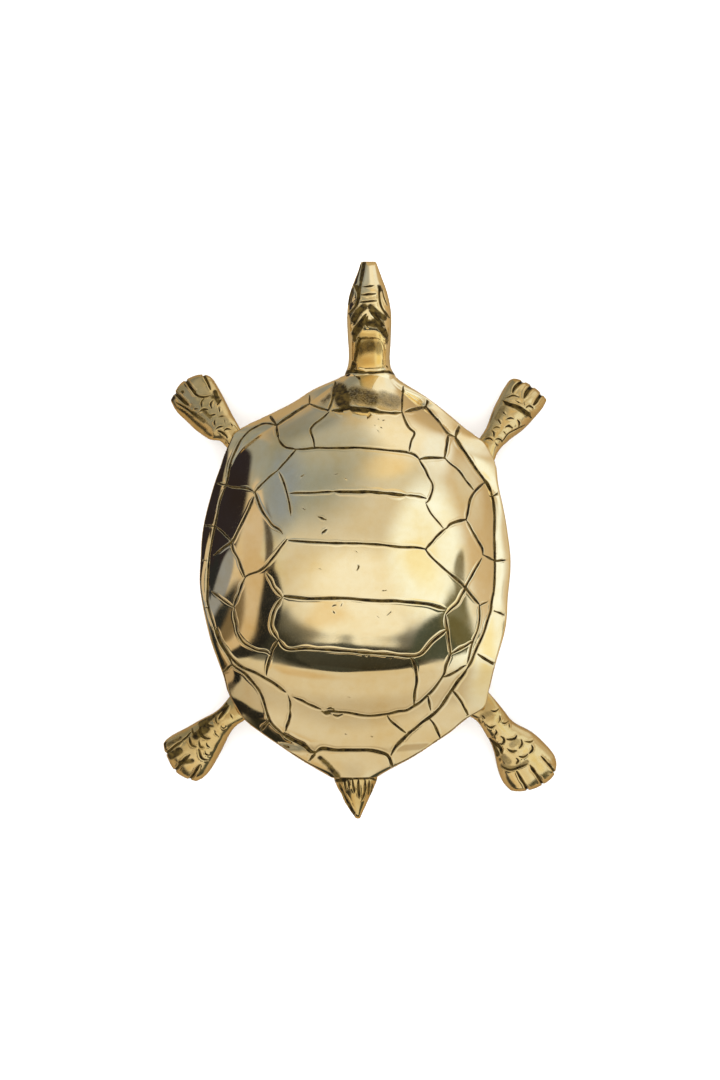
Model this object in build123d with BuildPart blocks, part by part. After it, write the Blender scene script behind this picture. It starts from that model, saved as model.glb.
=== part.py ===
"""A hollow-cast brass turtle: domed shell, belly plate, head, four legs and tail, held by rivets and screws.

The turtle stands on the plane z = 0 with its head towards +Y. The origin is on that plane, under the middle
of the whole animal. All lengths are in millimetres.
"""
from build123d import *
from math import cos, hypot, pi, radians, sin
import os

# Shell
shell_length = 108.6
shell_half_width = 42.0
neck_seam = 44.5
crest_height = 42.0
wall = 2.6
rim_lift = 6.5
band_rise = 3.5
rim_tuck = 3.5
seam_width = 0.7
seam_depth = 0.45

# Belly plate
belly_clearance = 6.0
belly_thickness = 3.0
belly_edge = 1.5
seat = belly_clearance + belly_thickness
rim_height = seat + rim_lift
band_height = rim_height + band_rise

# Neck and head
neck_half_width = 5.6
head_reach = 30.5
head_rise = 15.0
neck_tenon_radius = 3.4
eye_radius = 2.4
eye_bulge = 0.25
mouth_gap = 0.5
mouth_depth = 0.8

# Tail
tail_reach = 11.0
tail_half_width = 5.6
tail_drop = 3.6
tail_tenon_radius = 2.0
flute_radius = 0.55
flute_tip_radius = 0.1
flute_length = 4.2
flute_count = 14

# Legs
leg_reach = 25.0
lug_height = 4.6
lug_length = 8.4
root_depth = 3.6
toe_gap = 0.7
toe_gap_depth = 2.2

# Screws
screw_radius = 1.4
screw_head_radius = 2.7
screw_grip = 4.6
boss_radius = 3.4
driver_slot_width = 0.8
driver_slot_depth = 0.6

# Fits
fit = 0.15
pocket_clearance = 0.3
rivet_lip = 0.8
rivet_thickness = 1.2
overrun = 1.0

# Crosswise stations of the shell from the neck back to the tail, as shares of the shell's own sizes.
# Each row holds the distance back, the half width at the rim, the half width at the marginal seam, the
# sideways offset, the lift of the rim, and the rise of the crest over the marginal seam.
shell_shares = (
    (0.000, 0.157, 0.131, 0.060, 0.90, 0.130),
    (0.060, 0.426, 0.325, 0.015, 0.90, 0.386),
    (0.136, 0.744, 0.625, -0.022, 0.95, 0.684),
    (0.210, 0.876, 0.770, -0.024, 1.00, 0.854),
    (0.310, 0.940, 0.867, -0.028, 1.00, 0.978),
    (0.420, 0.990, 0.912, -0.031, 1.00, 0.985),
    (0.530, 0.991, 0.910, -0.031, 1.00, 0.839),
    (0.640, 0.951, 0.851, -0.026, 1.00, 0.533),
    (0.740, 0.869, 0.702, -0.020, 1.00, 0.205),
    (0.830, 0.780, 0.555, -0.016, 0.95, 0.085),
    (0.890, 0.600, 0.398, -0.026, 0.82, 0.085),
    (0.945, 0.390, 0.248, -0.032, 0.62, 0.088),
    (1.000, 0.148, 0.105, -0.038, 0.42, 0.127),
)
hollow_shares = shell_shares[1:-2]
hollow_slope_share = 1.2

# The seams cut between the scutes. Each point is its distance back as a share of the shell's length and
# its distance to the right as a share of the half width.
seam_shares = (
    ((0.089, -0.178), (0.088, 0.033), (0.093, 0.264)),
    ((0.014, -0.125), (0.091, -0.198)),
    ((0.026, 0.240), (0.091, 0.269)),
    ((0.091, -0.198), (0.133, -0.316), (0.182, -0.294)),
    ((0.091, 0.269), (0.143, 0.348), (0.193, 0.316)),
    ((0.089, -0.198), (0.071, -0.323), (0.125, -0.534), (0.166, -0.512), (0.184, -0.409)),
    ((0.091, 0.269), (0.078, 0.390)),
    ((0.078, 0.390), (0.152, 0.607)),
    ((0.146, 0.580), (0.205, 0.540)),
    ((0.208, 0.380), (0.205, 0.540), (0.285, 0.728)),
    ((0.184, -0.409), (0.181, 0.001), (0.193, 0.316), (0.208, 0.380)),
    ((0.186, -0.409), (0.238, -0.530), (0.289, -0.672)),
    ((0.292, -0.445), (0.290, -0.063), (0.305, 0.422)),
    ((0.238, -0.530), (0.305, -0.461), (0.347, -0.441)),
    ((0.210, 0.380), (0.277, 0.463), (0.317, 0.421), (0.379, 0.534)),
    ((0.410, -0.457), (0.418, 0.008), (0.432, 0.421)),
    ((0.549, -0.496), (0.556, 0.001), (0.580, 0.543)),
    ((0.656, -0.522), (0.676, -0.483), (0.687, 0.001), (0.696, 0.365), (0.632, 0.556)),
    (
        (0.655, -0.880), (0.714, -0.790), (0.740, -0.661), (0.793, -0.448), (0.829, -0.236),
        (0.842, 0.001), (0.831, 0.294), (0.749, 0.527), (0.689, 0.582),
    ),
    ((0.927, -0.235), (0.931, 0.078), (0.944, 0.160)),
    ((0.290, -0.672), (0.357, -0.590), (0.392, -0.497)),
    ((0.405, -0.464), (0.473, -0.602), (0.501, -0.736)),
    ((0.302, -0.679), (0.413, -0.820), (0.447, -0.920)),
    (
        (0.378, -0.905), (0.413, -0.820), (0.501, -0.736), (0.575, -0.810), (0.635, -0.791),
        (0.683, -0.647), (0.694, -0.573),
    ),
    ((0.540, -0.930), (0.576, -0.812)),
    ((0.492, -0.599), (0.550, -0.496), (0.617, -0.570), (0.655, -0.525), (0.746, -0.599)),
    ((0.274, -0.838), (0.289, -0.672)),
    ((0.795, -0.459), (0.883, -0.473)),
    ((0.432, 0.421), (0.379, 0.557), (0.358, 0.681), (0.291, 0.733), (0.267, 0.780)),
    ((0.358, 0.681), (0.445, 0.788), (0.461, 0.850)),
    ((0.449, 0.784), (0.547, 0.649), (0.585, 0.547)),
    ((0.432, 0.421), (0.570, 0.768), (0.560, 0.829)),
    ((0.570, 0.768), (0.625, 0.758), (0.719, 0.688)),
    ((0.585, 0.547), (0.694, 0.583)),
    ((0.692, 0.585), (0.658, 0.726)),
    ((0.749, 0.534), (0.719, 0.678)),
    ((0.701, 0.328), (0.746, 0.364), (0.815, 0.348)),
    (
        (0.125, -0.538), (0.161, -0.720), (0.235, -0.830), (0.334, -0.900), (0.449, -0.942),
        (0.570, -0.938), (0.646, -0.885), (0.718, -0.800), (0.771, -0.666), (0.851, -0.576),
        (0.900, -0.425), (0.927, -0.235),
    ),
    (
        (0.153, 0.607), (0.235, 0.745), (0.290, 0.828), (0.409, 0.864), (0.538, 0.856),
        (0.657, 0.775), (0.759, 0.629), (0.833, 0.493), (0.891, 0.308), (0.944, 0.160),
    ),
)

# Head and neck, from the shell's seam to the snout. Each row holds the distance ahead as a share of the
# reach, the climb as a share of the rise, the pitch in degrees, and the half width and half height as
# shares of the neck's half width.
head_shares = (
    (0.000, 0.000, 0.0, 1.16, 1.07),
    (0.050, 0.020, 12.0, 1.03, 1.00),
    (0.130, 0.130, 34.0, 1.00, 0.98),
    (0.250, 0.390, 46.0, 1.02, 0.98),
    (0.400, 0.720, 42.0, 1.04, 1.02),
    (0.560, 0.960, 18.0, 1.05, 1.06),
    (0.690, 1.020, 0.0, 0.94, 0.98),
    (0.830, 0.980, -6.0, 0.73, 0.74),
    (0.940, 0.930, -8.0, 0.49, 0.48),
    (1.000, 0.900, -8.0, 0.34, 0.30),
)
eye_place_shares = (0.66, 1.06)
mouth_place_shares = (0.74, 0.86)
mouth_outline_shares = ((0.70, 0.92), (0.83, 0.73), (0.94, 0.49), (1.00, 0.34))

# Tail, from the shell's seam to the tip. Each row holds the distance back, the drop, the half width
# and the half height as shares of the tail's sizes.
tail_shares = (
    (0.00, 0.00, 1.00, 0.60),
    (0.40, 0.35, 0.68, 0.44),
    (0.80, 0.78, 0.30, 0.24),
    (1.00, 1.00, 0.12, 0.10),
)
tail_lean_share = 0.09

# The middle of each leg's root, back from the neck seam and out from the middle as shares of the shell's
# length and half width, and the way in which the leg's lug points, in degrees.
root_shares = {
    "front_left_leg": (0.1522, -0.8173, -48.0),
    "front_right_leg": (0.1816, 0.8192, -125.0),
    "rear_left_leg": (0.8284, -0.7917, 44.0),
    "rear_right_leg": (0.8211, 0.7775, 130.0),
}

# Edges of the legs seen from above, from the root under the rim to the tips of the toes. Each row holds
# a point on the front edge and one on the rear edge, as shares of the leg's reach from its root.
edge_shares = {
    "front_left_leg": (
        (0.167, 0.000, 0.025, -0.214),
        (0.071, 0.107, -0.071, -0.107),
        (0.015, 0.206, -0.216, -0.037),
        (-0.042, 0.314, -0.306, 0.006),
        (-0.150, 0.520, -0.504, 0.174),
        (-0.209, 0.609, -0.597, 0.267),
        (-0.268, 0.658, -0.673, 0.364),
        (-0.360, 0.668, -0.646, 0.448),
    ),
    "front_right_leg": (
        (-0.161, 0.002, -0.004, -0.238),
        (-0.079, 0.120, 0.079, -0.120),
        (-0.024, 0.225, 0.170, 0.030),
        (0.020, 0.309, 0.275, 0.120),
        (0.120, 0.540, 0.474, 0.293),
        (0.178, 0.648, 0.566, 0.392),
        (0.232, 0.726, 0.641, 0.500),
        (0.318, 0.749, 0.604, 0.581),
    ),
    "rear_left_leg": (
        (0.022, 0.224, 0.185, -0.024),
        (-0.082, 0.124, 0.082, -0.124),
        (-0.247, -0.042, -0.058, -0.247),
        (-0.371, -0.107, -0.115, -0.355),
        (-0.642, -0.255, -0.231, -0.577),
        (-0.743, -0.322, -0.301, -0.683),
        (-0.791, -0.387, -0.392, -0.764),
        (-0.764, -0.505, -0.500, -0.764),
    ),
    "rear_right_leg": (
        (0.018, 0.227, -0.204, -0.007),
        (0.111, 0.117, -0.111, -0.117),
        (0.291, -0.106, 0.037, -0.279),
        (0.490, -0.246, 0.103, -0.394),
        (0.733, -0.451, 0.169, -0.626),
        (0.798, -0.548, 0.202, -0.742),
        (0.816, -0.656, 0.269, -0.866),
        (0.771, -0.774, 0.399, -0.921),
    ),
}

# Heights of a leg at the same rows: its top and its underside, as shares of the seat's height. The
# underside of the foot runs below the ground, where the sole is cut flat.
height_shares = (
    (1.48, 1.10),
    (1.48, 1.08),
    (1.50, 0.84),
    (1.36, 0.42),
    (1.06, -0.10),
    (0.88, -0.14),
    (0.70, -0.14),
    (0.46, -0.14),
)
side_share = 0.45
lug_width_share = 0.86
toe_shares = (0.27, 0.52, 0.76)


def along(share):
    """The Y of a place that lies this share of the shell's length behind the neck seam."""
    return neck_seam - share * shell_length


def crosswise(middle, back):
    """An upright plane across the shell, with its X to the turtle's right and its Y upwards."""
    return Plane(origin=(middle, along(back), 0), x_dir=(1, 0, 0), z_dir=(0, -1, 0))


def crest_of(row):
    """The height of the crest at one station of the shell."""
    lift_share, crest_share = row[-2:]
    return seat + lift_share * (band_height - seat) + crest_share * (crest_height - band_height)


def shell_section(row, lowered=0):
    """One crosswise outline of the shell: flat seat, tucked side, rim, marginal band and dome."""
    back, half_share, seam_share, offset_share, lift_share, crest_share = row
    rim = half_share * shell_half_width
    foot = half_share * (shell_half_width - rim_tuck)
    seam = seam_share * shell_half_width
    rim_top = seat + lift_share * rim_lift - lowered
    seam_top = seat + lift_share * (band_height - seat) - lowered
    with BuildSketch(crosswise(offset_share * shell_half_width, back)) as outline:
        with BuildLine():
            Line((-foot, seat), (foot, seat))
            Line((foot, seat), (rim, rim_top))
            Line((rim, rim_top), (seam, seam_top))
            ThreePointArc((seam, seam_top), (0, crest_of(row) - lowered), (-seam, seam_top))
            Line((-seam, seam_top), (-rim, rim_top))
            Line((-rim, rim_top), (-foot, seat))
        make_face()
    return outline.sketch


def seam_lines():
    """The narrow strips of the seams between the scutes, seen from above."""
    with BuildSketch(Plane.XY.offset(rim_height - rim_lift / 2)) as strips:
        for line in seam_shares:
            with BuildLine():
                Polyline(*[(out * shell_half_width, along(back)) for back, out in line])
            trace(line_width=seam_width)
    return strips.sketch


def hollow_section(row):
    """One crosswise outline of the space inside the shell, a wall's thickness within it."""
    back, half_share, seam_share, offset_share, lift_share, crest_share = row
    side = seam_share * shell_half_width - wall
    spring = seat + lift_share * rim_lift
    crest = crest_of(row) - hollow_slope_share * wall
    with BuildSketch(crosswise(offset_share * shell_half_width, back)) as outline:
        with BuildLine():
            Line((-side, seat - overrun), (side, seat - overrun))
            Line((side, seat - overrun), (side, spring))
            ThreePointArc((side, spring), (0, crest), (-side, spring))
            Line((-side, spring), (-side, seat - overrun))
        make_face()
    return outline.sketch


def belly_outline(height, clearance):
    """The belly plate's outline from above, which is the outline of the shell's flat seat."""
    sides = {
        side: [
            (
                row[3] * shell_half_width
                + side * (row[1] * (shell_half_width - rim_tuck) + clearance),
                along(row[0]),
            )
            for row in shell_shares
        ]
        for side in (-1, 1)
    }
    with BuildSketch(Plane.XY.offset(height)) as outline:
        with BuildLine():
            Spline(*sides[-1])
            Spline(*sides[1])
            Line(sides[-1][0], sides[1][0])
            Line(sides[-1][-1], sides[1][-1])
        make_face()
    return outline.sketch


def round_section(plane, half_width, half_height):
    """An oval cross-section of the neck, head or tail."""
    with BuildSketch(plane) as outline:
        Ellipse(half_width, half_height)
    return outline.sketch


def leg_section(name, row, heights):
    """One outline across a leg, between its two edges: flat below, rounded above."""
    front_x, front_y, rear_x, rear_y = (share * leg_reach for share in row)
    top = heights[0] * seat
    bottom = heights[1] * seat
    side = bottom + side_share * (top - bottom)
    root_x, root_y = leg_root[name]
    width = hypot(front_x - rear_x, front_y - rear_y)
    across = ((front_x - rear_x) / width, (front_y - rear_y) / width, 0)
    middle = (root_x + (front_x + rear_x) / 2, root_y + (front_y + rear_y) / 2, 0)
    plane = Plane(origin=middle, x_dir=across, z_dir=(across[1], -across[0], 0))
    with BuildSketch(plane) as outline:
        with BuildLine():
            Line((-width / 2, bottom), (width / 2, bottom))
            Line((width / 2, bottom), (width / 2, side))
            ThreePointArc((width / 2, side), (0, top), (-width / 2, side))
            Line((-width / 2, side), (-width / 2, bottom))
        make_face()
    return outline.sketch


def lug_plane(name, height):
    """A level plane at a leg's root, with its X along the lug towards the middle of the shell."""
    root_x, root_y = leg_root[name]
    turn = radians(root_shares[name][2])
    return Plane(origin=(root_x, root_y, height), x_dir=(cos(turn), sin(turn), 0), z_dir=(0, 0, 1))


def lug_outline(name, start, half_width):
    """A lug's outline from above, from the start inwards to its round end about the screw."""
    with BuildSketch(lug_plane(name, seat)) as outline:
        with Locations(((start + screw_reach) / 2, 0)):
            Rectangle(screw_reach - start, 2 * half_width)
        with Locations((screw_reach, 0)):
            Circle(half_width)
    return outline.sketch


def toe_cut(name, toe_share):
    """The upright face of one cut between two toes, from the toes' tips up to the top of the foot."""
    root_x, root_y = leg_root[name]
    tip = edge_shares[name][-1]
    instep = edge_shares[name][-4]
    points = []
    for front_x, front_y, rear_x, rear_y in (tip, instep):
        x = front_x + toe_share * (rear_x - front_x)
        y = front_y + toe_share * (rear_y - front_y)
        points.append((root_x + x * leg_reach, root_y + y * leg_reach))
    (tip_x, tip_y), (instep_x, instep_y) = points
    length = hypot(instep_x - tip_x, instep_y - tip_y)
    inwards = ((instep_x - tip_x) / length, (instep_y - tip_y) / length, 0)
    plane = Plane(origin=(tip_x, tip_y, 0), x_dir=inwards, z_dir=(inwards[1], -inwards[0], 0))
    tip_height = height_shares[-1][0] * seat
    instep_height = height_shares[-4][0] * seat
    with BuildSketch(plane) as outline:
        with BuildLine():
            Polyline(
                (-toe_gap_depth, 0),
                (0, tip_height - toe_gap_depth),
                (length, instep_height),
                (length, instep_height + overrun),
                (-toe_gap_depth, instep_height + overrun),
                close=True,
            )
        make_face()
    return outline.sketch


def mouth_outline():
    """The mouth's slit seen from above: what lies outside a narrower outline of the snout."""
    mouth_ahead, mouth_climb = mouth_place_shares
    inner = [
        (width_share * neck_half_width - mouth_depth, neck_seam + ahead * head_reach)
        for ahead, width_share in mouth_outline_shares
    ]
    inner[-1] = (inner[-1][0], inner[-1][1] - mouth_depth)
    start = neck_seam + mouth_ahead * head_reach
    with BuildSketch(Plane.XY.offset(neck_place[1] + mouth_climb * head_rise)) as outline:
        with Locations((neck_place[0], start)):
            Rectangle(2 * widest_head, head_reach, align=(Align.CENTER, Align.MIN))
        with BuildLine():
            Polyline(
                *[(neck_place[0] - out, y) for out, y in inner],
                *[(neck_place[0] + out, y) for out, y in reversed(inner)],
                close=True,
            )
        make_face(mode=Mode.SUBTRACT)
    return outline.sketch


def flute_plane(turn):
    """A plane just behind the rim of the tail's base, square to a line on the tail's side."""
    places = []
    for back, drop, width_share, height_share in tail_shares[:2]:
        places.append(
            Vector(
                tail_place[0] + tail_lean_share * back * tail_reach
                + width_share * tail_half_width * cos(turn),
                tail_seam - back * tail_reach,
                tail_place[1] - drop * tail_drop + height_share * tail_half_width * sin(turn),
            )
        )
    direction = (places[1] - places[0]).normalized()
    return Plane(origin=places[0] - direction * flute_radius, z_dir=direction)


leg_root = {
    name: (out_share * shell_half_width, along(back_share))
    for name, (back_share, out_share, turn) in root_shares.items()
}
root_half_width = {
    name: hypot(rows[0][0] - rows[0][2], rows[0][1] - rows[0][3]) * leg_reach / 2
    for name, rows in edge_shares.items()
}
screw_reach = root_depth + lug_length
lug_top = seat + lug_height
screw_tip = lug_top + screw_grip
screw_place = {name: lug_plane(name, 0) * Location((screw_reach, 0, 0)) for name in root_shares}

tail_seam = along(shell_shares[-1][0])
widest_head = neck_half_width * max(row[3] for row in head_shares[3:])
neck_place, tail_place = (
    (row[3] * shell_half_width, (seat + crest_of(row)) / 2) for row in (shell_shares[0], shell_shares[-1])
)

with BuildPart() as shell_hollow:
    loft([hollow_section(row) for row in hollow_shares])
    for place in screw_place.values():
        with Locations(place * Location((0, 0, lug_top))):
            Cylinder(
                boss_radius,
                crest_height,
                align=(Align.CENTER, Align.CENTER, Align.MIN),
                mode=Mode.SUBTRACT,
            )

with BuildPart() as seam_cutter:
    extrude(seam_lines(), amount=crest_height)
    loft([shell_section(row, seam_depth) for row in shell_shares], mode=Mode.SUBTRACT)

with BuildPart() as carapace:
    loft([shell_section(row) for row in shell_shares])
    add(seam_cutter.part, mode=Mode.SUBTRACT)
    add(shell_hollow.part, mode=Mode.SUBTRACT)
    for name in root_shares:
        pocket = lug_outline(name, -root_depth, root_half_width[name] + pocket_clearance)
        extrude(pocket, amount=lug_height, mode=Mode.SUBTRACT)
        with Locations(screw_place[name] * Location((0, 0, lug_top))):
            Cylinder(
                screw_radius + fit,
                screw_grip + fit,
                align=(Align.CENTER, Align.CENTER, Align.MIN),
                mode=Mode.SUBTRACT,
            )
    with BuildSketch(Plane.XZ.offset(-along(hollow_shares[0][0]))):
        with Locations(neck_place):
            Circle(neck_tenon_radius + fit)
    extrude(amount=-(neck_seam - along(hollow_shares[0][0])) - overrun, mode=Mode.SUBTRACT)
    with BuildSketch(Plane.XZ.offset(-along(hollow_shares[-1][0]))):
        with Locations(tail_place):
            Circle(tail_tenon_radius + fit)
    extrude(amount=along(hollow_shares[-1][0]) - tail_seam + overrun, mode=Mode.SUBTRACT)
carapace.part.label = "carapace"

with BuildPart() as plastron:
    extrude(belly_outline(belly_clearance, 0), amount=belly_thickness)
    chamfer(plastron.faces().sort_by(Axis.Z)[0].edges(), belly_edge)
    for place in screw_place.values():
        with Locations(place * Location((0, 0, belly_clearance)) * Rotation(180, 0, 0)):
            CounterSinkHole(screw_radius + fit, screw_head_radius + fit, 2 * belly_thickness)
plastron.part.label = "plastron"

with BuildPart() as head_and_neck:
    sections = []
    for ahead, climb, pitch, width_share, height_share in head_shares:
        centre = (neck_place[0], neck_seam + ahead * head_reach, neck_place[1] + climb * head_rise)
        tilt = radians(pitch)
        plane = Plane(origin=centre, x_dir=(1, 0, 0), z_dir=(0, -cos(tilt), -sin(tilt)))
        sections.append(
            round_section(plane, width_share * neck_half_width, height_share * neck_half_width)
        )
    loft(sections)
    with BuildSketch(Plane.XZ.offset(-neck_seam)):
        with Locations(neck_place):
            Circle(neck_tenon_radius)
    extrude(amount=neck_seam - along(hollow_shares[0][0]) + rivet_thickness)
    with BuildSketch(Plane.XZ.offset(-along(hollow_shares[0][0]))):
        with Locations(neck_place):
            Circle(neck_tenon_radius + rivet_lip)
    extrude(amount=rivet_thickness)
    eye_ahead, eye_climb = eye_place_shares
    eye_out = widest_head - eye_radius + eye_bulge
    eye_height = neck_place[1] + eye_climb * head_rise
    for side in (-1, 1):
        with Locations((neck_place[0] + side * eye_out, neck_seam + eye_ahead * head_reach, eye_height)):
            Sphere(eye_radius)
    extrude(mouth_outline(), amount=mouth_gap, mode=Mode.SUBTRACT)
head_and_neck.part.label = "head_and_neck"

with BuildPart() as tail:
    sections = []
    for back, drop, width_share, height_share in tail_shares:
        centre = (
            tail_place[0] + tail_lean_share * back * tail_reach,
            tail_seam - back * tail_reach,
            tail_place[1] - drop * tail_drop,
        )
        plane = Plane(origin=centre, x_dir=(1, 0, 0), z_dir=(0, -1, 0))
        sections.append(round_section(plane, width_share * tail_half_width, height_share * tail_half_width))
    loft(sections)
    with BuildSketch(Plane.XZ.offset(-tail_seam)):
        with Locations(tail_place):
            Circle(tail_tenon_radius)
    extrude(amount=tail_seam - along(hollow_shares[-1][0]) - rivet_thickness)
    with BuildSketch(Plane.XZ.offset(-along(hollow_shares[-1][0]))):
        with Locations(tail_place):
            Circle(tail_tenon_radius + rivet_lip)
    extrude(amount=-rivet_thickness)
    for count in range(flute_count):
        with Locations(flute_plane(2 * pi * count / flute_count)):
            Cone(
                flute_radius,
                flute_tip_radius,
                flute_length,
                align=(Align.CENTER, Align.CENTER, Align.MIN),
                mode=Mode.SUBTRACT,
            )
tail.part.label = "tail"

legs = []
for name, rows in edge_shares.items():
    with BuildPart() as leg:
        loft([leg_section(name, row, heights) for row, heights in zip(rows, height_shares)])
        split(bisect_by=Plane.XY, keep=Keep.TOP)
        for toe_share in toe_shares:
            extrude(toe_cut(name, toe_share), amount=toe_gap / 2, both=True, mode=Mode.SUBTRACT)
        lug = lug_outline(name, root_depth / 2, lug_width_share * root_half_width[name])
        extrude(lug, amount=lug_height)
        with Locations(screw_place[name] * Location((0, 0, seat))):
            Cylinder(
                screw_radius + fit,
                lug_height,
                align=(Align.CENTER, Align.CENTER, Align.MIN),
                mode=Mode.SUBTRACT,
            )
    leg.part.label = name
    legs.append(leg)

with BuildPart() as belly_screws:
    for place in screw_place.values():
        with Locations(place * Location((0, 0, belly_clearance))):
            Cylinder(
                screw_radius,
                screw_tip - belly_clearance,
                align=(Align.CENTER, Align.CENTER, Align.MIN),
            )
            Cone(
                screw_head_radius,
                screw_radius,
                screw_head_radius - screw_radius,
                align=(Align.CENTER, Align.CENTER, Align.MIN),
            )
            Box(
                driver_slot_width,
                2 * screw_head_radius,
                2 * driver_slot_depth,
                mode=Mode.SUBTRACT,
            )
belly_screws.part.label = "belly_screws"

os.makedirs("parts", exist_ok=True)
for node in (carapace, plastron, head_and_neck, *legs, tail, belly_screws):
    export_step(node.part, f"parts/{node.part.label}.step")
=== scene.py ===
"""A turtle figurine of polished cast brass, seen from straight above on a plain pale floor."""
from math import cos, pi, radians, sin

import bpy
import numpy as np
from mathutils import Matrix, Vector
from mathutils.geometry import delaunay_2d_cdt
from mathutils.kdtree import KDTree


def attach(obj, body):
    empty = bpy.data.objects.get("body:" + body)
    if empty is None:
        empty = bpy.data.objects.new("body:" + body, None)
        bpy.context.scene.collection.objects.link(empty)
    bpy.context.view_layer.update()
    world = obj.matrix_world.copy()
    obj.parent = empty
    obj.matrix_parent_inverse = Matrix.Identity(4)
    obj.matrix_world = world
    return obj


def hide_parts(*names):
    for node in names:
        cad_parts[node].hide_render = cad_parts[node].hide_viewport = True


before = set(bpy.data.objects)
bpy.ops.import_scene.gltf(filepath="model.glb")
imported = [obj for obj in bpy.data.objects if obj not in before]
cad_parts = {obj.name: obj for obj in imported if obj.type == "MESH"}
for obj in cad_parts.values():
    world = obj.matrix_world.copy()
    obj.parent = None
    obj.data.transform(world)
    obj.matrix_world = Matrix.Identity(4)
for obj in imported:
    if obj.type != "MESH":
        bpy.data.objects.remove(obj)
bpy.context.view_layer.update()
random = np.random.default_rng(4690)

# The photograph's frame: one pixel in metres, and the pixel over the origin
mm = 0.001
pixel = 150 * mm / 556.7
middle_px = (359.8, 540.35)
image_width_px, image_height_px = 720, 1080

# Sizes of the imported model
shell_length = 108.6 * mm
shell_half_width = 42 * mm
neck_seam = 44.5 * mm
crest_height = 42 * mm
seat = 9 * mm
rim_lift = 6.5 * mm
band_rise = 3.5 * mm
rim_tuck = 3.5 * mm
wall = 2.6 * mm
lug_top = 13.6 * mm

# The middle of each leg's pocket by the rim, the pocket's radius there and the width of its edge
leg_roots = (
    (-34.33 * mm, 27.97 * mm),
    (34.41 * mm, 24.78 * mm),
    (-33.25 * mm, -45.47 * mm),
    (32.66 * mm, -44.67 * mm),
)
pocket_radius = 5.6 * mm
pocket_fade = 0.5 * mm

# The band of marginal scutes: how far its rim stands higher on the left and the right and over the tail, how
# far it swells out, how much flatter that is on each side at the rear, and the width of its seam's bend
rim_beads = (-0.5 * mm, 1.3 * mm)
tail_bead = 2.4 * mm
band_bulge = 0.3 * mm
rear_flattening = (1.9, 1.0)
seam_blend = 0.65 * mm

# The row where the rear and the scute over the tail each begin, and how many rows the change takes
rear_row_px, rear_blend_px = 700, 25
tail_row_px, tail_blend_px = 742, 12

# The rim's section: how far the top's edge lies inside the outline, how far the corner lies outside it and
# below the rim's height, the way from the corner to the end of the rounding, the foot's place as a share of
# the tuck, and the depth of the hollow's ceiling below the top as a share of the wall
rim_inset = 0.65 * mm
rim_swell = 0.22 * mm
rim_drop = 0.15 * mm
rim_round = 1.3 * mm
foot_share = 0.9
ceiling_share = 1.3

# The square ends of the shell at the neck and the tail: their rows, and the rim's section there
square_rows_px = (378.5, 775.5)
square_blend_px = 2
square_inset = 0.25 * mm
square_drop = 0.25 * mm

# Lengthwise stations of the shell: the distance back, the half width at the marginal seam, the sideways
# offset, the lift of the rim and the height of the crest, as shares of the shell's sizes.
shell_shares = (
    (0.000, 0.131, 0.060, 0.90, 0.500),
    (0.060, 0.325, 0.015, 0.90, 0.640),
    (0.136, 0.625, -0.022, 0.95, 0.815),
    (0.210, 0.770, -0.024, 1.00, 0.920),
    (0.310, 0.867, -0.028, 1.00, 0.988),
    (0.420, 0.912, -0.031, 1.00, 0.992),
    (0.530, 0.910, -0.031, 1.00, 0.912),
    (0.640, 0.851, -0.026, 1.00, 0.758),
    (0.690, 0.784, -0.023, 1.00, 0.655),
    (0.740, 0.702, -0.020, 1.00, 0.546),
    (0.830, 0.555, -0.016, 0.95, 0.476),
    (0.890, 0.398, -0.026, 0.82, 0.452),
    (0.945, 0.248, -0.032, 0.62, 0.410),
    (1.000, 0.105, -0.038, 0.42, 0.384),
)

# The rim seen from above, row by row: the height in the photograph, the left edge and the right edge
rim_px = (
    (375, 345, 394), (380, 333, 400), (390, 311, 416), (400, 296, 431), (410, 277, 444),
    (420, 256, 456), (430, 236, 468), (440, 229.5, 483), (450, 225, 490), (460, 222, 495),
    (480, 215, 498), (500, 209, 502), (520, 204, 506), (540, 201, 509), (560, 200, 511),
    (580, 199, 510), (600, 201, 508), (620, 205, 507), (640, 210, 503), (660, 217, 497),
    (680, 224, 492), (700, 230, 488), (710, 236, 483), (720, 243, 466), (730, 256, 454),
    (740, 270, 440), (750, 285, 425), (760, 300, 409), (770, 317, 390), (778, 331, 377),
)

# The seam between the dome and the marginal scutes, in the same way
seam_px = (
    (375, 350, 387), (388, 330, 398.5), (404, 309.5, 421), (415, 293, 432), (425, 275, 443),
    (433, 262, 450.5), (446, 245, 460), (460, 235, 470), (480, 227, 485), (500, 220.5, 492.8),
    (524, 215.5, 494.2), (556, 209.5, 494.6), (590, 207.3, 493.3), (614, 209.8, 489.5),
    (640, 219, 480.5), (660, 230.5, 471.7), (680, 251, 458.5), (700, 263.3, 445),
    (718, 268.5, 428.5), (733, 283, 409), (746, 304, 396), (760, 325, 386), (778, 337.5, 370.3),
)

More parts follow.
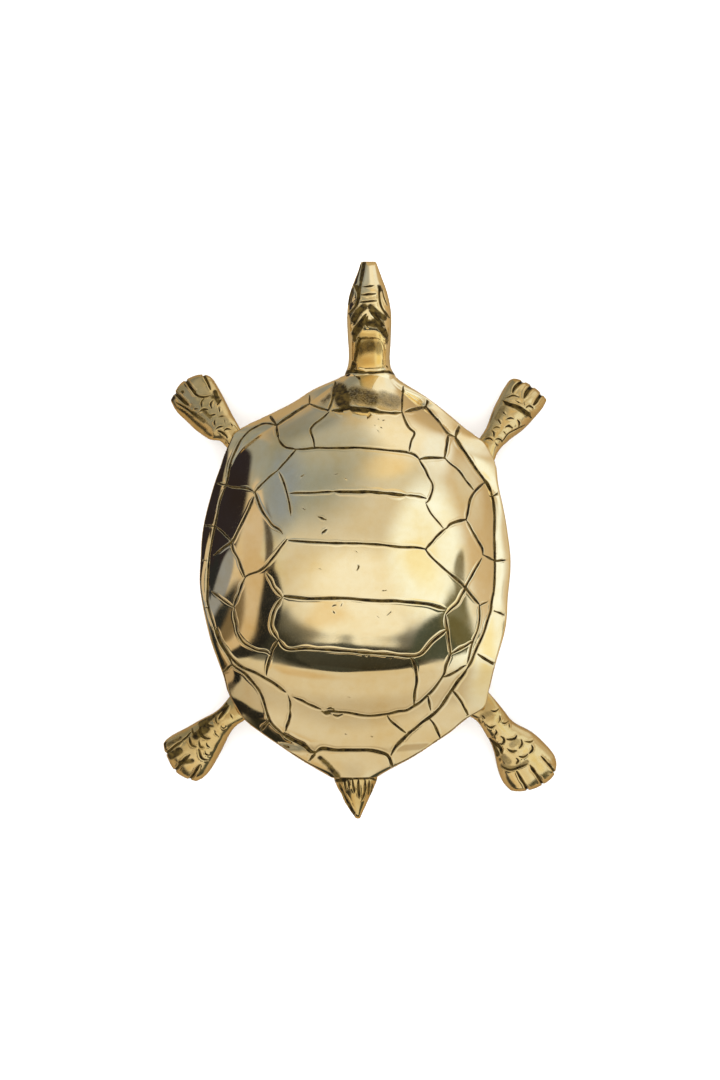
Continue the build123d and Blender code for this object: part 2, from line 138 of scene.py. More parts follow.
# The grooves between the scutes: the width in pixels, then the points along each one
shell_grooves_px = (
    (2.2, (335.6, 381), (334.4, 388), (333.3, 395.6), (331.7, 402), (329.4, 408), (327.8, 411)),
    (2.2, (403.3, 385.6), (402.8, 393), (402, 402), (401.7, 412)),
    (2.6, (332, 411), (340, 410), (350, 409.5)),
    (6.0, (334, 410.6), (345, 409.4), (356, 409.4), (368, 410.8), (380, 412.4)),
    (2.6, (370, 411.5), (380, 412.5), (390, 413), (401, 412.8)),
    (2.4, (309.7, 396), (309.5, 404)),
    (3.0, (309.5, 404), (304.4, 406.7), (295.6, 412.2), (285.6, 419), (276.5, 425.5)),
    (2.4, (310, 404), (315.6, 406.7), (322, 409), (329, 410.8)),
    (3.0, (268.9, 414.4), (276, 424.5)),
    (2.2, (329, 412), (324.4, 416.7), (317.8, 421.7), (312.2, 426.7), (310.6, 429), (311.7, 434.4),
     (313.3, 440), (314.2, 447)),
    (2.3, (401.7, 412), (403.3, 416.7), (406.7, 424.4), (411, 430), (414, 432.8), (412.2, 439),
     (410, 446.7), (409, 452)),
    (3.6, (405.6, 411.7), (412.2, 410), (419, 408.6), (425.6, 406.7)),
    (2.8, (427.8, 398.3), (426.7, 403.3), (425.6, 406.7)),
    (2.3, (426.7, 407.8), (432.2, 414.4), (439, 422.2), (444.4, 429.4), (447.8, 433.3), (454.4, 436.6)),
    (3.6, (459.4, 426), (457.2, 431), (455.6, 436.7)),
    (2.7, (448.3, 435.6), (446.7, 444.4), (444.4, 457.8)),
    (2.8, (419.4, 459.2), (427.8, 458), (436.7, 457.8), (444, 458)),
    (2.2, (445.6, 459.4), (451, 464.4), (459, 471), (465.6, 480), (473.3, 490)),
    (3.2, (276.5, 426), (277.2, 432), (278.3, 438)),
    (2.3, (278.3, 438), (281, 443.3), (285.6, 447.2), (291, 448.6), (296, 449.5)),
    (2.4, (296, 449.5), (306.7, 449), (314.4, 448.3), (334.4, 448.3), (360, 448), (384.4, 450.2),
     (403.3, 452), (409, 453), (415.6, 455.8), (419, 459.2)),
    (2.0, (296, 450), (290, 457), (284.4, 463.3), (277.2, 471)),
    (2.0, (277.2, 471), (270, 476.7), (263.3, 482.8), (255.3, 491.3)),
    (2.0, (279, 472), (282.8, 480), (286, 489), (288.3, 498), (290, 506.7), (291, 515)),
    (2.2, (255, 492), (257.8, 501), (262.2, 511), (267.8, 519), (274.4, 526.7), (279, 529.5),
     (282.3, 533)),
    (2.3, (290.5, 493.3), (312, 492.8), (334.4, 491.7)),
    (3.3, (334.4, 491.7), (350, 492), (372, 492.2), (394.4, 494.4), (405.6, 495.3)),
    (2.3, (405.6, 495.3), (416.7, 496.1), (425.6, 498.3)),
    (2.1, (419, 460), (424.5, 469), (429, 478), (432.3, 485), (432, 491), (430, 497), (427.5, 501.5),
     (425.5, 503)),
    (1.7, (425.5, 503), (430, 512), (436, 520), (443, 528)),
    (2.3, (288.5, 540.5), (312, 542), (334, 543), (361, 543.4), (383, 545), (405.6, 547.2),
     (416.7, 547.6), (425.5, 549.3)),
    (2.9, (284, 596), (292, 597.2), (312, 598.7), (345.6, 598.2), (372, 600.5), (394.4, 601),
     (416.7, 603), (427.8, 604.4), (439, 607.2), (444.5, 609)),
    (2.4, (278.5, 639.5), (284.5, 647.7), (301, 648.7), (323, 649.6), (345.6, 651), (372, 653.3),
     (394.4, 655), (416.7, 655.6), (421, 654), (425.6, 649.4), (431, 642.8), (438, 636.7), (446.5, 630)),
    (2.4, (216.7, 628), (222.2, 644.4), (227.8, 653.3), (234.4, 661), (242.2, 667.2), (250, 670.6),
     (256.7, 673.3), (266.7, 679), (273.3, 682.8), (280, 687.8), (285.6, 692)),
    (2.3, (293.3, 696.7), (301, 700), (311, 705), (321.7, 709)),
    (2.2, (323.3, 711.7), (330, 711), (339, 711.7), (345.6, 712), (360, 714.8), (372, 715.3),
     (383, 714.4), (390, 713.3), (399, 711), (405.6, 710.3), (413.3, 706), (419, 702.8), (425.6, 697),
     (432, 691), (437, 684.5), (442, 677), (444, 673.5), (446, 666), (449, 659), (450.5, 653)),
    (3.2, (316, 752.2), (320, 749), (329, 749), (340, 750), (361, 750), (372, 750.6), (380, 752.2),
     (386.7, 755), (389, 757.8), (390.6, 762), (392.8, 767.8)),
    (2.0, (276, 425.6), (268, 423.7), (261, 424.4), (256.7, 426.7), (250.6, 430), (245.6, 434.4),
     (241, 440), (237.8, 446), (234.4, 453.3), (231.7, 460), (229, 470), (227.8, 478), (226, 485.5)),
    (1.8, (226, 485.5), (221, 498), (218, 510), (215.5, 524), (213, 535), (211, 546), (208.5, 565),
     (207.3, 590), (207.8, 605), (209.8, 614), (213, 622.5), (216.7, 635.6), (220, 643),
     (224.4, 650), (229, 657.8), (232.2, 664.4)),
    (2.4, (232.2, 664.4), (237.8, 669), (244.4, 673.3), (250, 679), (255.6, 685.6), (260, 692),
     (263.3, 700), (265.6, 707.8), (268.5, 718), (270, 721), (275.6, 727.8), (282, 733.3)),
    (3.6, (282, 733.3), (290, 738.3), (298, 742.2), (305.6, 746.7), (310.6, 751), (316, 752)),
    (1.8, (216, 483.3), (226.7, 485)),
    (1.8, (204.5, 525.5), (215, 526.5)),
    (1.4, (201, 560), (207, 560.5)),
    (1.4, (204, 608), (208, 607)),
    (2.8, (223.3, 672), (229, 667), (231.7, 665)),
    (2.8, (268, 722), (260, 731)),
    (2.8, (315.6, 752.8), (309.4, 760.6)),
    (2.1, (226.7, 485), (231, 486.7), (240, 487.8), (248, 489), (254, 491.7)),
    (2.0, (254, 497), (250, 507), (245.5, 516), (241, 525), (236.5, 534.5), (232, 541.5),
     (226.5, 545.5), (220, 550.5), (214, 555.5)),
    (2.0, (215.5, 526), (222, 531.5), (229, 538.5), (232, 541.5)),
    (2.0, (232, 543), (233.5, 550.5), (238, 558), (241, 566.5), (245, 577)),
    (2.0, (245, 577), (248.5, 574.8), (254.5, 572.6), (262, 569.5), (266.5, 565.8), (271, 560),
     (276.5, 553.3), (282, 545.7), (287.5, 538.5)),
    (2.0, (245, 578), (242, 584.4), (239, 593.3), (235.6, 601), (233.5, 607)),
    (2.0, (212, 591.7), (220, 597.8), (226.7, 602.8), (233.3, 607.2)),
    (2.0, (234, 608), (234.4, 616.7), (236, 624.4), (236.7, 631), (240, 637.8), (244.4, 643.3),
     (251, 647.2), (259, 650.6), (266.7, 652), (270.5, 655)),
    (2.0, (266.5, 573.5), (270.5, 580), (274, 587), (278, 592), (282.5, 597)),
    (2.2, (282, 598), (277.8, 603.5), (274.4, 610), (271.7, 618.5), (271, 624), (273, 631), (278, 639)),
    (2.1, (278.3, 640.5), (274.5, 646.5), (270.7, 655), (268.8, 662), (267, 669), (266.3, 676)),
    (2.1, (288.3, 695.6), (290, 702), (290, 711)),
    (2.7, (290, 711), (289, 720), (286.7, 726.7), (286, 731)),
    (2.3, (425.5, 549), (430, 544), (435.6, 537.2), (441, 532.2), (446.7, 527.8)),
    (3.0, (446.7, 527.8), (450, 524.4), (456.7, 521.7), (466, 519.6)),
    (2.5, (466, 519.5), (467.8, 510), (470, 500), (474, 492.5), (479, 487), (483.5, 483)),
    (2.3, (466.7, 521), (472.2, 531), (477.8, 541), (482.2, 549.5), (482.7, 554.5)),
    (2.2, (482.7, 554.5), (487.8, 557.2), (494.4, 560.8)),
    (2.2, (481, 559), (476.7, 566.7), (471, 576.7), (466.7, 584.4), (464.4, 590), (461, 595.6),
     (457.8, 602.2), (453.3, 606.7), (446, 614)),
    (2.3, (425.5, 549.5), (430, 555.6), (436.7, 562.2), (444.4, 569), (452.2, 576), (459, 581.7),
     (465.6, 588.3), (471, 595), (475.6, 600.6), (479.5, 605)),
    (2.3, (480.6, 605), (487.8, 601.4)),
    (1.8, (479.5, 605), (479.4, 618), (478.5, 626), (475.6, 634.4), (472.8, 641), (470.6, 649),
     (469, 656.7), (467.2, 663.3)),
    (2.2, (445.5, 615), (446.7, 626), (448.3, 636), (449.5, 645), (450.7, 655)),
    (2.0, (451, 654), (459, 649.5), (467, 645), (473, 640.5)),
    (2.0, (443, 677), (450, 674.5), (457, 670.5), (465.5, 665)),
    (2.5, (411, 657.8), (413.3, 662), (416, 672), (416.7, 681), (415, 690), (414, 703.5)),
    (2.9, (454.4, 436.7), (457.8, 442), (463.3, 450), (470, 460), (476.7, 470), (483.3, 479),
     (487.8, 485.6), (491, 492)),
    (2.2, (491, 492), (492.8, 500), (494, 510), (494.2, 523), (494.1, 540), (494.7, 561),
     (494.2, 581), (493.3, 592), (491.7, 601), (490.6, 610), (488.3, 618), (485, 629), (480.6, 640),
     (476.7, 648), (473.3, 656.7), (470, 663.3), (466.7, 669)),
    (2.6, (466.7, 669), (462.2, 675.6), (457.8, 681), (453.3, 687.8), (447.8, 695.6), (442.2, 704.4),
     (436.7, 711), (430, 716.7), (422.2, 722.2), (414.4, 729), (407.8, 734.4), (401, 741),
     (395.6, 746.7), (391, 755)),
    (2.3, (493.3, 496), (500, 492.2)),
    (2.3, (494.4, 561.4), (505.6, 559.8)),
    (2.2, (494.4, 611), (504.4, 615)),
    (2.8, (477.8, 654.2), (486, 659.5), (495.6, 665.6)),
    (2.4, (452.2, 690.6), (456.7, 695.6), (461, 701.7), (464.4, 707.8), (468, 715.6)),
    (2.3, (430, 719.4), (434.4, 725), (437.8, 732.2), (440.6, 739)),
    (2.2, (427.8, 695.6), (429, 703.3), (431, 711)),
    (2.2, (387.2, 715.6), (391, 721), (397.8, 726.7), (405.6, 732.8)),
)

# Scratches and casting pits of the shell, in the same way
shell_pits_px = (
    (3.0, (318.6, 516.8), (322, 518.2), (326, 519.6)),
    (4.2, (322.6, 532.6), (324.6, 531), (327, 529.2)),
    (2.4, (303.4, 508.6), (304.8, 509.6)),
    (3.4, (357.4, 569.4), (358.4, 567.6), (358.8, 565.8)),
    (2.6, (320.4, 568.8), (321.2, 569.2)),
    (2.6, (333, 606), (334.4, 605.2), (336, 605)),
    (2.4, (341.8, 604.2), (342.6, 603.4)),
    (2.8, (333.2, 611.8), (334.6, 613.2)),
    (2.2, (383, 590.8), (384.6, 590.6)),
    (2.0, (356.6, 551.6), (357.2, 552)),
    (2.0, (378, 617), (379, 617.6)),
    (2.4, (387.6, 614.6), (390, 612.4)),
    (2.6, (335.8, 474.6), (337.4, 474)),
    (2.4, (345.4, 478.6), (346.4, 479.2)),
    (3.0, (302, 476.4), (303.4, 475.4)),
    (1.8, (378, 419.5), (379, 419.8)),
    (1.8, (384, 420.4), (384.8, 420.6)),
    (2.0, (375, 426), (376, 426.4)),
    (1.8, (381, 428), (381.8, 428.4)),
    (1.8, (378, 431), (378.6, 431.6)),
    (3.6, (322.6, 711.6), (326, 713.2), (330, 713)),
    (3.0, (327, 708.6), (331, 708), (334.4, 709.4)),
    (3.2, (333.6, 714.6), (338, 715.6), (342.4, 714)),
    (2.4, (365, 655.4), (368, 655.8)),
    (2.4, (388.6, 658.4), (391, 658.6)),
    (2.0, (349.8, 697), (350.8, 697.4)),
    (2.0, (371, 736), (372.4, 736.4)),
    (2.0, (346, 734), (347, 734.2)),
)

# Soft dark marks of the shell: the radius in pixels, the strength, then the points along each one.
# The first three, over the scute behind the neck, are painted dark reflection; the others are stains.
shell_stains_and_reflection_px = (
    # The next three marks are painted dark reflection over the scute behind the neck
    (9.0, 0.85, (340, 391), (343, 401)),
    (9.0, 0.72, (354, 394), (372, 399)),
    (8.0, 0.58, (382, 398), (394, 402)),
    (3.0, 0.70, (329, 396), (324, 402)),
    (2.8, 0.80, (320, 758), (328, 765), (338, 777)),
)


# Low swells across the shell: the middle column, its row and how far the swell leans, its half width and its
# reach to each side, all in pixels, then its rise
shell_swells = (
    ((354, 651.5, 0.055), (78, 9.5), 0.26 * mm),
    ((366, 395.5, 0.0), (42, 11.0), -0.85 * mm),
)


def x_at(column_px):
    """The X of a column of the photograph."""
    return (column_px - middle_px[0]) * pixel


def y_at(row_px):
    """The Y of a row of the photograph."""
    return (middle_px[1] - row_px) * pixel


def row_at(y):
    """The row of the photograph over a Y."""
    return middle_px[1] - y / pixel


def places_at(points_px):
    """The places of points of the photograph."""
    return [(x_at(x), y_at(y)) for x, y in points_px]


def edge_places(column_line, rows_px):
    """The places along an edge whose column is known for each row."""
    return np.stack([x_at(column_line(rows_px)), y_at(rows_px)], axis=1)


def smooth_step(value):
    """A smooth change from 0 to 1."""
    value = np.clip(value, 0, 1)
    return value * value * (3 - 2 * value)


def unit(vectors):
    """The same directions at a length of one."""
    return vectors / np.maximum(np.linalg.norm(vectors, axis=-1, keepdims=True), 1e-20)


def smooth_line(places, values):
    """A natural cubic spline through the values at the places."""
    at = np.array(places, float)
    value = np.array(values, float)
    step = np.diff(at)
    count = len(at)
    matrix = np.eye(count)
    known = np.zeros(count)
    for i in range(1, count - 1):
        matrix[i, i - 1:i + 2] = step[i - 1], 2 * (step[i - 1] + step[i]), step[i]
        known[i] = 6 * ((value[i + 1] - value[i]) / step[i] - (value[i] - value[i - 1]) / step[i - 1])
    bend = np.linalg.solve(matrix, known)

    def line(place):
        place = np.clip(place, at[0], at[-1])
        i = np.clip(np.searchsorted(at, place) - 1, 0, count - 2)
        after = place - at[i]
        before = at[i + 1] - place
        return (
            (bend[i] * before**3 + bend[i + 1] * after**3) / (6 * step[i])
            + (value[i] / step[i] - bend[i] * step[i] / 6) * before
            + (value[i + 1] / step[i] - bend[i + 1] * step[i] / 6) * after
        )

    return line


def column_lines(rows):
    """A smooth line for each further column of a table, over its first column."""
    table = np.array(rows)
    return [smooth_line(table[:, 0], values) for values in table.T[1:]]


def curve_points(points, spacing):
    """Points at an even spacing on a smooth curve through the given points."""
    points = np.array(points, float)
    run = np.concatenate([[0], np.cumsum(np.linalg.norm(np.diff(points, axis=0), axis=1))])
    if len(points) > 2:
        lines = [smooth_line(run, values) for values in points.T]
    else:
        lines = [lambda at, values=values: np.interp(at, run, values) for values in points.T]
    count = max(2, int(round(run[-1] / spacing)) + 1)
    places = np.linspace(0, run[-1], count)
    return np.stack([line(places) for line in lines], axis=1)


def smooth_noise(count, spacing, wavelength=2.5 * mm):
    """Random values from about -1 to 1 that change smoothly along a line."""
    knots = max(4, int(count * spacing / wavelength) + 4)
    values = random.uniform(-1, 1, knots)
    return smooth_line(np.linspace(0, count, knots), values)(np.arange(count))


def directions(line):
    """The direction at each point of a line."""
    return unit(np.gradient(line, axis=0))


def slopes(height, x, y, step=0.03 * mm):
    """The slope of a height along X and along Y."""
    along_x = (height(x + step, y) - height(x - step, y)) / (2 * step)
    along_y = (height(x, y + step) - height(x, y - step)) / (2 * step)
    return np.stack([along_x, along_y], axis=1)


# Lines and cuts


class Lines:
    """Lines seen from above, as finely spaced points with their directions.

    A place is beside a line, and not past its end, if it is less than this far ahead of the nearest point.
    """

    beside = 0.1 * mm

    def __init__(self, rows):
        """Each row of each line starts with a place and a direction."""
        self.lines = rows
        self.rows = np.concatenate(rows)
        self.tree = KDTree(len(self.rows))
        for i, (x, y) in enumerate(self.rows[:, :2]):
            self.tree.insert((x, y, 0), i)
        self.tree.balance()

    def nearest(self, places):
        """For each place, the row of the nearest line's point, the way from it and the distance."""
        found = np.array([self.tree.find((x, y, 0))[1] for x, y in places])
        row = self.rows[found]
        away = places - row[:, :2]
        ahead = np.abs((away * row[:, 2:4]).sum(1))
        apart = np.linalg.norm(away, axis=1)
        across = np.abs(away[:, 0] * -row[:, 3] + away[:, 1] * row[:, 2])
        distance = np.where(ahead < self.beside, across, apart)
        return row, away / np.maximum(apart, 1e-9)[:, None], distance


def edge_line(points_px, spacing=0.05 * mm):
    """A smooth line through pixels of the photograph, for measuring distances from it."""
    line = curve_points(places_at(points_px), spacing)
    return Lines([np.column_stack([line, directions(line)])])


class Cuts(Lines):
    """Lines cut into a surface, with the half width, depth and dark fill at each of their points: patina, and
    painted shadow in one of a leg's cuts.

    Width and depth wander along a line as in hand work and shrink at its ends. A low burr stands beside
    the cut, burr_place half widths away from its middle, and a shallow valley runs along it.
    """

    spacing = 0.08 * mm
    side_wander = 0.05 * mm
    width_wander = 0.16
    depth_wander = 0.2
    end_width_share = 0.55
    end_depth_share = 0.35
    burr_place = 1.3
    burr_spread = 0.35
    valley_reach = 1.1 * mm
    stain_strength = 1.25

    def __init__(self, lines, taper, valley, burr):
        """Lines are (width in pixels, depth as a share of the width, stain, points in pixels)."""
        self.valley = valley
        self.burr = burr
        rows = []
        for width_px, depth_share, stain_and_shade, points_px in lines:
            width = width_px * pixel
            line = curve_points(places_at(points_px), self.spacing)
            count = len(line)
            along = directions(line)
            run = np.arange(count) * self.spacing
            full = np.clip(np.minimum(run, run[::-1]) / taper, 0, 1)
            half = width / 2 * (1 + self.width_wander * smooth_noise(count, self.spacing))
            half *= self.end_width_share + (1 - self.end_width_share) * full
            deep = depth_share * width * (1 + self.depth_wander * smooth_noise(count, self.spacing))
            deep *= self.end_depth_share + (1 - self.end_depth_share) * full
            side = np.stack([-along[:, 1], along[:, 0]], axis=1)
            line = line + side * (self.side_wander * smooth_noise(count, self.spacing))[:, None]
            rows.append(np.column_stack([line, along, half, deep, np.full(count, stain_and_shade)]))
        super().__init__(rows)

    def relief(self, places):
        """How far the surface is cut down at each place, the slope of that, and the dark fill in it: patina,
        and in one leg's cut painted shadow.
        """
        row, outward, distance = self.nearest(places)
        half, deep, stain_and_shade = row[:, 4:7].T
        ratio = distance / half
        inside = ratio < 1
        fall = -deep * np.where(inside, (1 - ratio**2) ** 2, 0)
        slope = np.where(inside, 4 * deep * ratio * (1 - ratio**2) / half, 0)
        from_burr = (ratio - self.burr_place) / self.burr_spread
        bump = self.burr * deep * np.exp(-from_burr**2)
        fall += bump
        slope -= 2 * bump * from_burr / self.burr_spread / half
        dip = self.valley * np.exp(-((distance / self.valley_reach) ** 2))
        fall -= dip
        slope += 2 * dip * distance / self.valley_reach**2
        patina_and_shade = stain_and_shade * np.clip(self.stain_strength * (1 - ratio**2), 0, 1)
        return fall, outward * slope[:, None], patina_and_shade

    def crowd(self, shares, step=5, line_gap=0.2 * mm, side_gap=0.11 * mm):
        """Points along and beside the lines, where the mesh has to be fine, nearest first."""
        layers = []
        for share in shares:
            points = []
            for row in self.lines:
                picked = row[::step]
                side = np.stack([-picked[:, 3], picked[:, 2]], axis=1)
                for sign in (1, -1) if share else (1,):
                    points.append(picked[:, :2] + side * (sign * share * picked[:, 4])[:, None])
            layers.append((np.vstack(points), side_gap if share else line_gap))
        return layers


def cut_lines(rows_px, widening, depth_share):
    """Rows of a width and points as lines for Cuts, all with a full dark fill."""
    return [(widening * width, depth_share, 1.0, points) for width, *points in rows_px]


def soft_stain_and_shade(places, stains_and_shade, reach=1.4, fade=0.8):
    """The strength of soft dark marks at each place, stains and painted shade alike: each is a radius, a
    strength, then points of its line.
    """
    strength = np.zeros(len(places))
    for radius_px, most, *points in stains_and_shade:
        line = edge_line(points)
        radius = radius_px * pixel
        low = line.rows[:, :2].min(0) - reach * radius
        high = line.rows[:, :2].max(0) + reach * radius
        near = ((places > low) & (places < high)).all(1)
        if near.any():
            away = line.nearest(places[near])[2] / radius
            strength[near] = np.maximum(strength[near], most * smooth_step((reach - away) / fade))
    return strength


# Outlines and meshes


def even_loop(points, spacing):
    """The same closed outline with its points evenly spaced."""
    closed = np.vstack([points, points[:1]])
    run = np.concatenate([[0], np.cumsum(np.linalg.norm(np.diff(closed, axis=0), axis=1))])
    places = np.linspace(0, run[-1], int(run[-1] / spacing), endpoint=False)
    return np.stack([np.interp(places, run, values) for values in closed.T], axis=1)


def soften(values, times):
    """Smooths values round a loop."""
    for _ in range(times):
        values = (np.roll(values, 1, axis=0) + 2 * values + np.roll(values, -1, axis=0)) / 4
    return values


def limb_outline(loop, times, spacing=0.16 * mm):
    """An anticlockwise, even and softened outline through the points of a loop."""
    ahead = np.roll(loop, -1, axis=0)
    area = (loop[:, 0] * ahead[:, 1] - ahead[:, 0] * loop[:, 1]).sum()
    return soften(even_loop(loop if area > 0 else loop[::-1], spacing), times)


def loop_outward(loop, times):
    """The outward direction at each point of an outline that runs anticlockwise, softened round it."""
    along = unit(np.roll(loop, -2, axis=0) - np.roll(loop, 2, axis=0))
    return soften(np.stack([along[:, 1], -along[:, 0]], axis=1), times)


def inside_loop(places, loop):
    """True for each place that lies inside an outline."""
    inside = np.zeros(len(places), bool)
    ahead = np.roll(loop, -1, axis=0)
    for (x0, y0), (x1, y1) in zip(loop, ahead):
        crosses = (y0 > places[:, 1]) != (y1 > places[:, 1])
        if crosses.any():
            at = (x1 - x0) * (places[:, 1] - y0) / (y1 - y0 + 1e-15) + x0
            inside ^= crosses & (places[:, 0] < at)
    return inside


def spread(layers, cell):
    """Points from the layers in turn, leaving out those that lie nearer than a layer's gap to an earlier one.

    The search runs over square cells of the given size, each with its latest point.
    """
    kept = []
    cells = {}
    for points, gap in layers:
        reach = int(np.ceil(gap / cell))
        for x, y in points:
            i, j = int(np.floor(x / cell)), int(np.floor(y / cell))
            near = (
                cells.get((i + a, j + b))
                for a in range(-reach, reach + 1)
                for b in range(-reach, reach + 1)
            )
            if any(k is not None and (kept[k][0] - x) ** 2 + (kept[k][1] - y) ** 2 < gap**2 for k in near):
                continue
            cells[(i, j)] = len(kept)
            kept.append((x, y))
    return np.array(kept)


def grid_over(outline, spacing, row_share=0.866):
    """A field of points in staggered rows that covers an outline."""
    low = outline.min(0) - spacing
    high = outline.max(0) + spacing
    across, along = np.meshgrid(
        np.arange(low[0], high[0], spacing), np.arange(low[1], high[1], spacing * row_share)
    )
    across = across + (np.arange(across.shape[0]) % 2)[:, None] * spacing / 2
    return np.stack([across.ravel(), along.ravel()], axis=1)


def within(layers, loop):
    """The layers of points without those that lie outside an outline."""
    return [(points[inside_loop(points, loop)], gap) for points, gap in layers]


def fill(loop, points):
    """Triangles over an outline and the points inside it: the places, the triangles and the outline's own."""
    places = np.vstack([loop, points]) / mm
    made, _, faces, origin, _, _ = delaunay_2d_cdt(
        [Vector(place) for place in places], [], [list(range(len(loop)))], 1, 1e-6
    )
    order = np.full(len(places), -1)
    for i, sources in enumerate(origin):
        for source in sources:
            order[source] = i
    return np.array(made) * mm, faces, order[:len(loop)]


def ring_faces(inner, outer):
    """Quads between two rings of as many points."""
    ahead = range(1 - len(inner), 1)
    return [(inner[i], outer[i], outer[j], inner[j]) for i, j in zip(range(len(inner)), ahead)]


def mesh_normals(places, faces):
    """The area-weighted normal at each vertex."""
    normals = np.zeros_like(places)
    for face in faces:
        corners = places[list(face)]
        normal = np.zeros(3)
        for i in range(1, len(face) - 1):
            normal += np.cross(corners[i] - corners[0], corners[i + 1] - corners[0])
        normals[list(face)] += normal
    return unit(normals)


def new_piece(name, places, faces, normals, marks):
    """A mesh object with smooth shading, its own normals and a value at each vertex for its dark patina and
    painted shade.
    """
    mesh = bpy.data.meshes.new(name)
    mesh.from_pydata([tuple(map(float, place)) for place in places], [], [tuple(map(int, f)) for f in faces])
    mesh.validate()
    for polygon in mesh.polygons:
        polygon.use_smooth = True
    patina_and_shade = mesh.attributes.new("patina_and_shade", "FLOAT", "POINT")
    patina_and_shade.data.foreach_set("value", np.array(marks, np.float32))
    mesh.normals_split_custom_set_from_vertices([tuple(map(float, n)) for n in normals])
    piece = bpy.data.objects.new(name, mesh)
    bpy.context.scene.collection.objects.link(piece)
    return piece


class Casting:
    """A closed piece: a finely meshed top, rings that run out and down from its border, and an underside."""

    def __init__(self, loop, points, top, cuts, stains_and_shade):
        """The top over an outline and the points in it, at the height that top gives, less the cuts."""
        flat, faces, self.border = fill(loop, points)
        fall, fall_slope, patina_and_shade = cuts.relief(flat)
        slope = slopes(top, *flat.T) + fall_slope
        self.places = [np.column_stack([flat, top(*flat.T) + fall])]
        self.normals = unit(np.column_stack([-slope, np.ones(len(slope))]))
        self.marks = [np.maximum(patina_and_shade, soft_stain_and_shade(flat, stains_and_shade))]
        self.faces = [tuple(face) for face in faces]
        self.last_ring = self.border
        self.count = len(flat)

    def add_ring(self, ring, patina_and_shade=0.0):
        """Joins a further ring of places to the last one."""
        current = np.arange(self.count, self.count + len(ring))
        self.count += len(ring)
        self.places.append(ring)
        self.marks.append(np.broadcast_to(patina_and_shade, len(ring)))
        self.faces += ring_faces(self.last_ring, current)
        self.last_ring = current

    def close(self, loop, points, height):
        """Closes the piece below the last ring, over an outline and the points in it."""
        flat, faces, border = fill(loop, points)
        z = height(*flat.T)
        z[border] = self.places[-1][:, 2]
        self.places.append(np.column_stack([flat, z]))
        self.marks.append(np.zeros(len(flat)))
        self.faces += [tuple(self.count + i for i in reversed(face)) for face in faces]
        self.faces += ring_faces(self.last_ring, self.count + border)

    def make(self, name, border_share):
        """The mesh object. The top keeps its own normals, and its border the given share of them."""
        places = np.vstack(self.places)
        normals = mesh_normals(places, self.faces)
        top = self.normals.copy()
        top[self.border] = unit(normals[self.border] + border_share * top[self.border])
        normals[:len(top)] = top
        return new_piece(name, places, self.faces, normals, np.concatenate(self.marks))


# The shell as a height over each place

stations = np.array(shell_shares) * (1, shell_half_width, shell_half_width, 1, crest_height)
seam_half, shell_offset, lift_at, crest_at = column_lines(stations)
rim_lines = column_lines(rim_px)
seam_lines = column_lines(seam_px)

# Long low waves of the metal, as in a casting polished by hand
wave_count = 9
wave_lengths = random.uniform(9, 26, wave_count) * mm
wave_turns = random.uniform(0, 2 * pi, wave_count)
wave_phases = random.uniform(0, 2 * pi, wave_count)
wave_share = 0.000132


def share_at(y):
    """How far back a Y lies along the shell, from 0 at the neck to 1 at the tail."""
    return (neck_seam - y) / shell_length


def dome_height(x, y):
    """The height of the dome, an arc across the shell at each station."""
    share = share_at(y)
    low = seat + lift_at(share) * (rim_lift + band_rise)
    rise = crest_at(share) - low
    half = seam_half(share)
    radius = (half**2 + rise**2) / (2 * rise)
    return low + rise - radius + np.sqrt(np.maximum(radius**2 - (x - shell_offset(share)) ** 2, 1e-12))


def tail_share(row_px):
    """How far the smooth scute over the tail has taken over from the seams, from 0 to 1."""
    return smooth_step((row_px - tail_row_px) / tail_blend_px)


def bead_height(row_px, side):
    """How far the rim of one side lies above its plain height."""
    bead = np.where(np.asarray(side) > 0, rim_beads[1], rim_beads[0])
    return bead + (tail_bead - bead) * tail_share(row_px)


def shell_height(x, y):
    """The height of the shell's upper side, without the grooves."""
    row_px = row_at(y)
    share = share_at(y)
    low = seat + lift_at(share) * rim_lift
    rims = [x_at(rim_line(row_px)) for rim_line in rim_lines]
    z = dome_height(x, y)
    rear = smooth_step((row_px - rear_row_px) / rear_blend_px)
    for rim_x, seam_line, side, flattened in zip(rims, seam_lines, (-1, 1), rear_flattening):
        seam_x = x_at(seam_line(row_px))
        rim_height = low + bead_height(row_px, side)
        part = (rim_x - x) / (rim_x - seam_x)
        band = rim_height + (dome_height(seam_x, y) - rim_height) * part
        band += band_bulge * (1 - flattened * rear) * np.sin(pi * np.clip(part, 0, 1))
        z = z + (band - z) * smooth_step(0.5 + side * (x - seam_x) / (2 * seam_blend))
    across = (2 * x - rims[0] - rims[1]) / (rims[1] - rims[0])
    low = low + tail_bead
    plate = low + (crest_at(share) - low) * (1 - across**2)
    z = z + (plate - z) * tail_share(row_px)
    for length, turn, phase in zip(wave_lengths, wave_turns, wave_phases):
        z += wave_share * length * np.sin(2 * pi * (x * cos(turn) + y * sin(turn)) / length + phase)
    column_px = middle_px[0] + x / pixel
    for (centre_px, swell_row_px, lean), (half_width_px, reach_px), rise in shell_swells:
        along = smooth_step(2 * (1 - np.abs(column_px - centre_px) / half_width_px))
        across = (row_px - swell_row_px - lean * (column_px - centre_px)) / reach_px
        z += rise * along * np.exp(-across**2)
    return z


# Materials

brass_light = (0.93, 0.79, 0.50, 1.0)
brass_gold = (0.87, 0.66, 0.32, 1.0)
brass_plain = (0.78, 0.56, 0.25, 1.0)
leg_light = (0.71, 0.53, 0.25, 1.0)
leg_gold = (0.58, 0.39, 0.13, 1.0)
patina_and_shade_dark = (0.03, 0.02, 0.008, 1.0)
patina_and_shade_olive = (0.15, 0.10, 0.026, 1.0)
# A darker tint for the shell's rear, and the rows of the photograph over which it sets in
rear_dark_tint = (0.74, 0.68, 0.60, 1.0)
darker_rows_px = (655, 672)


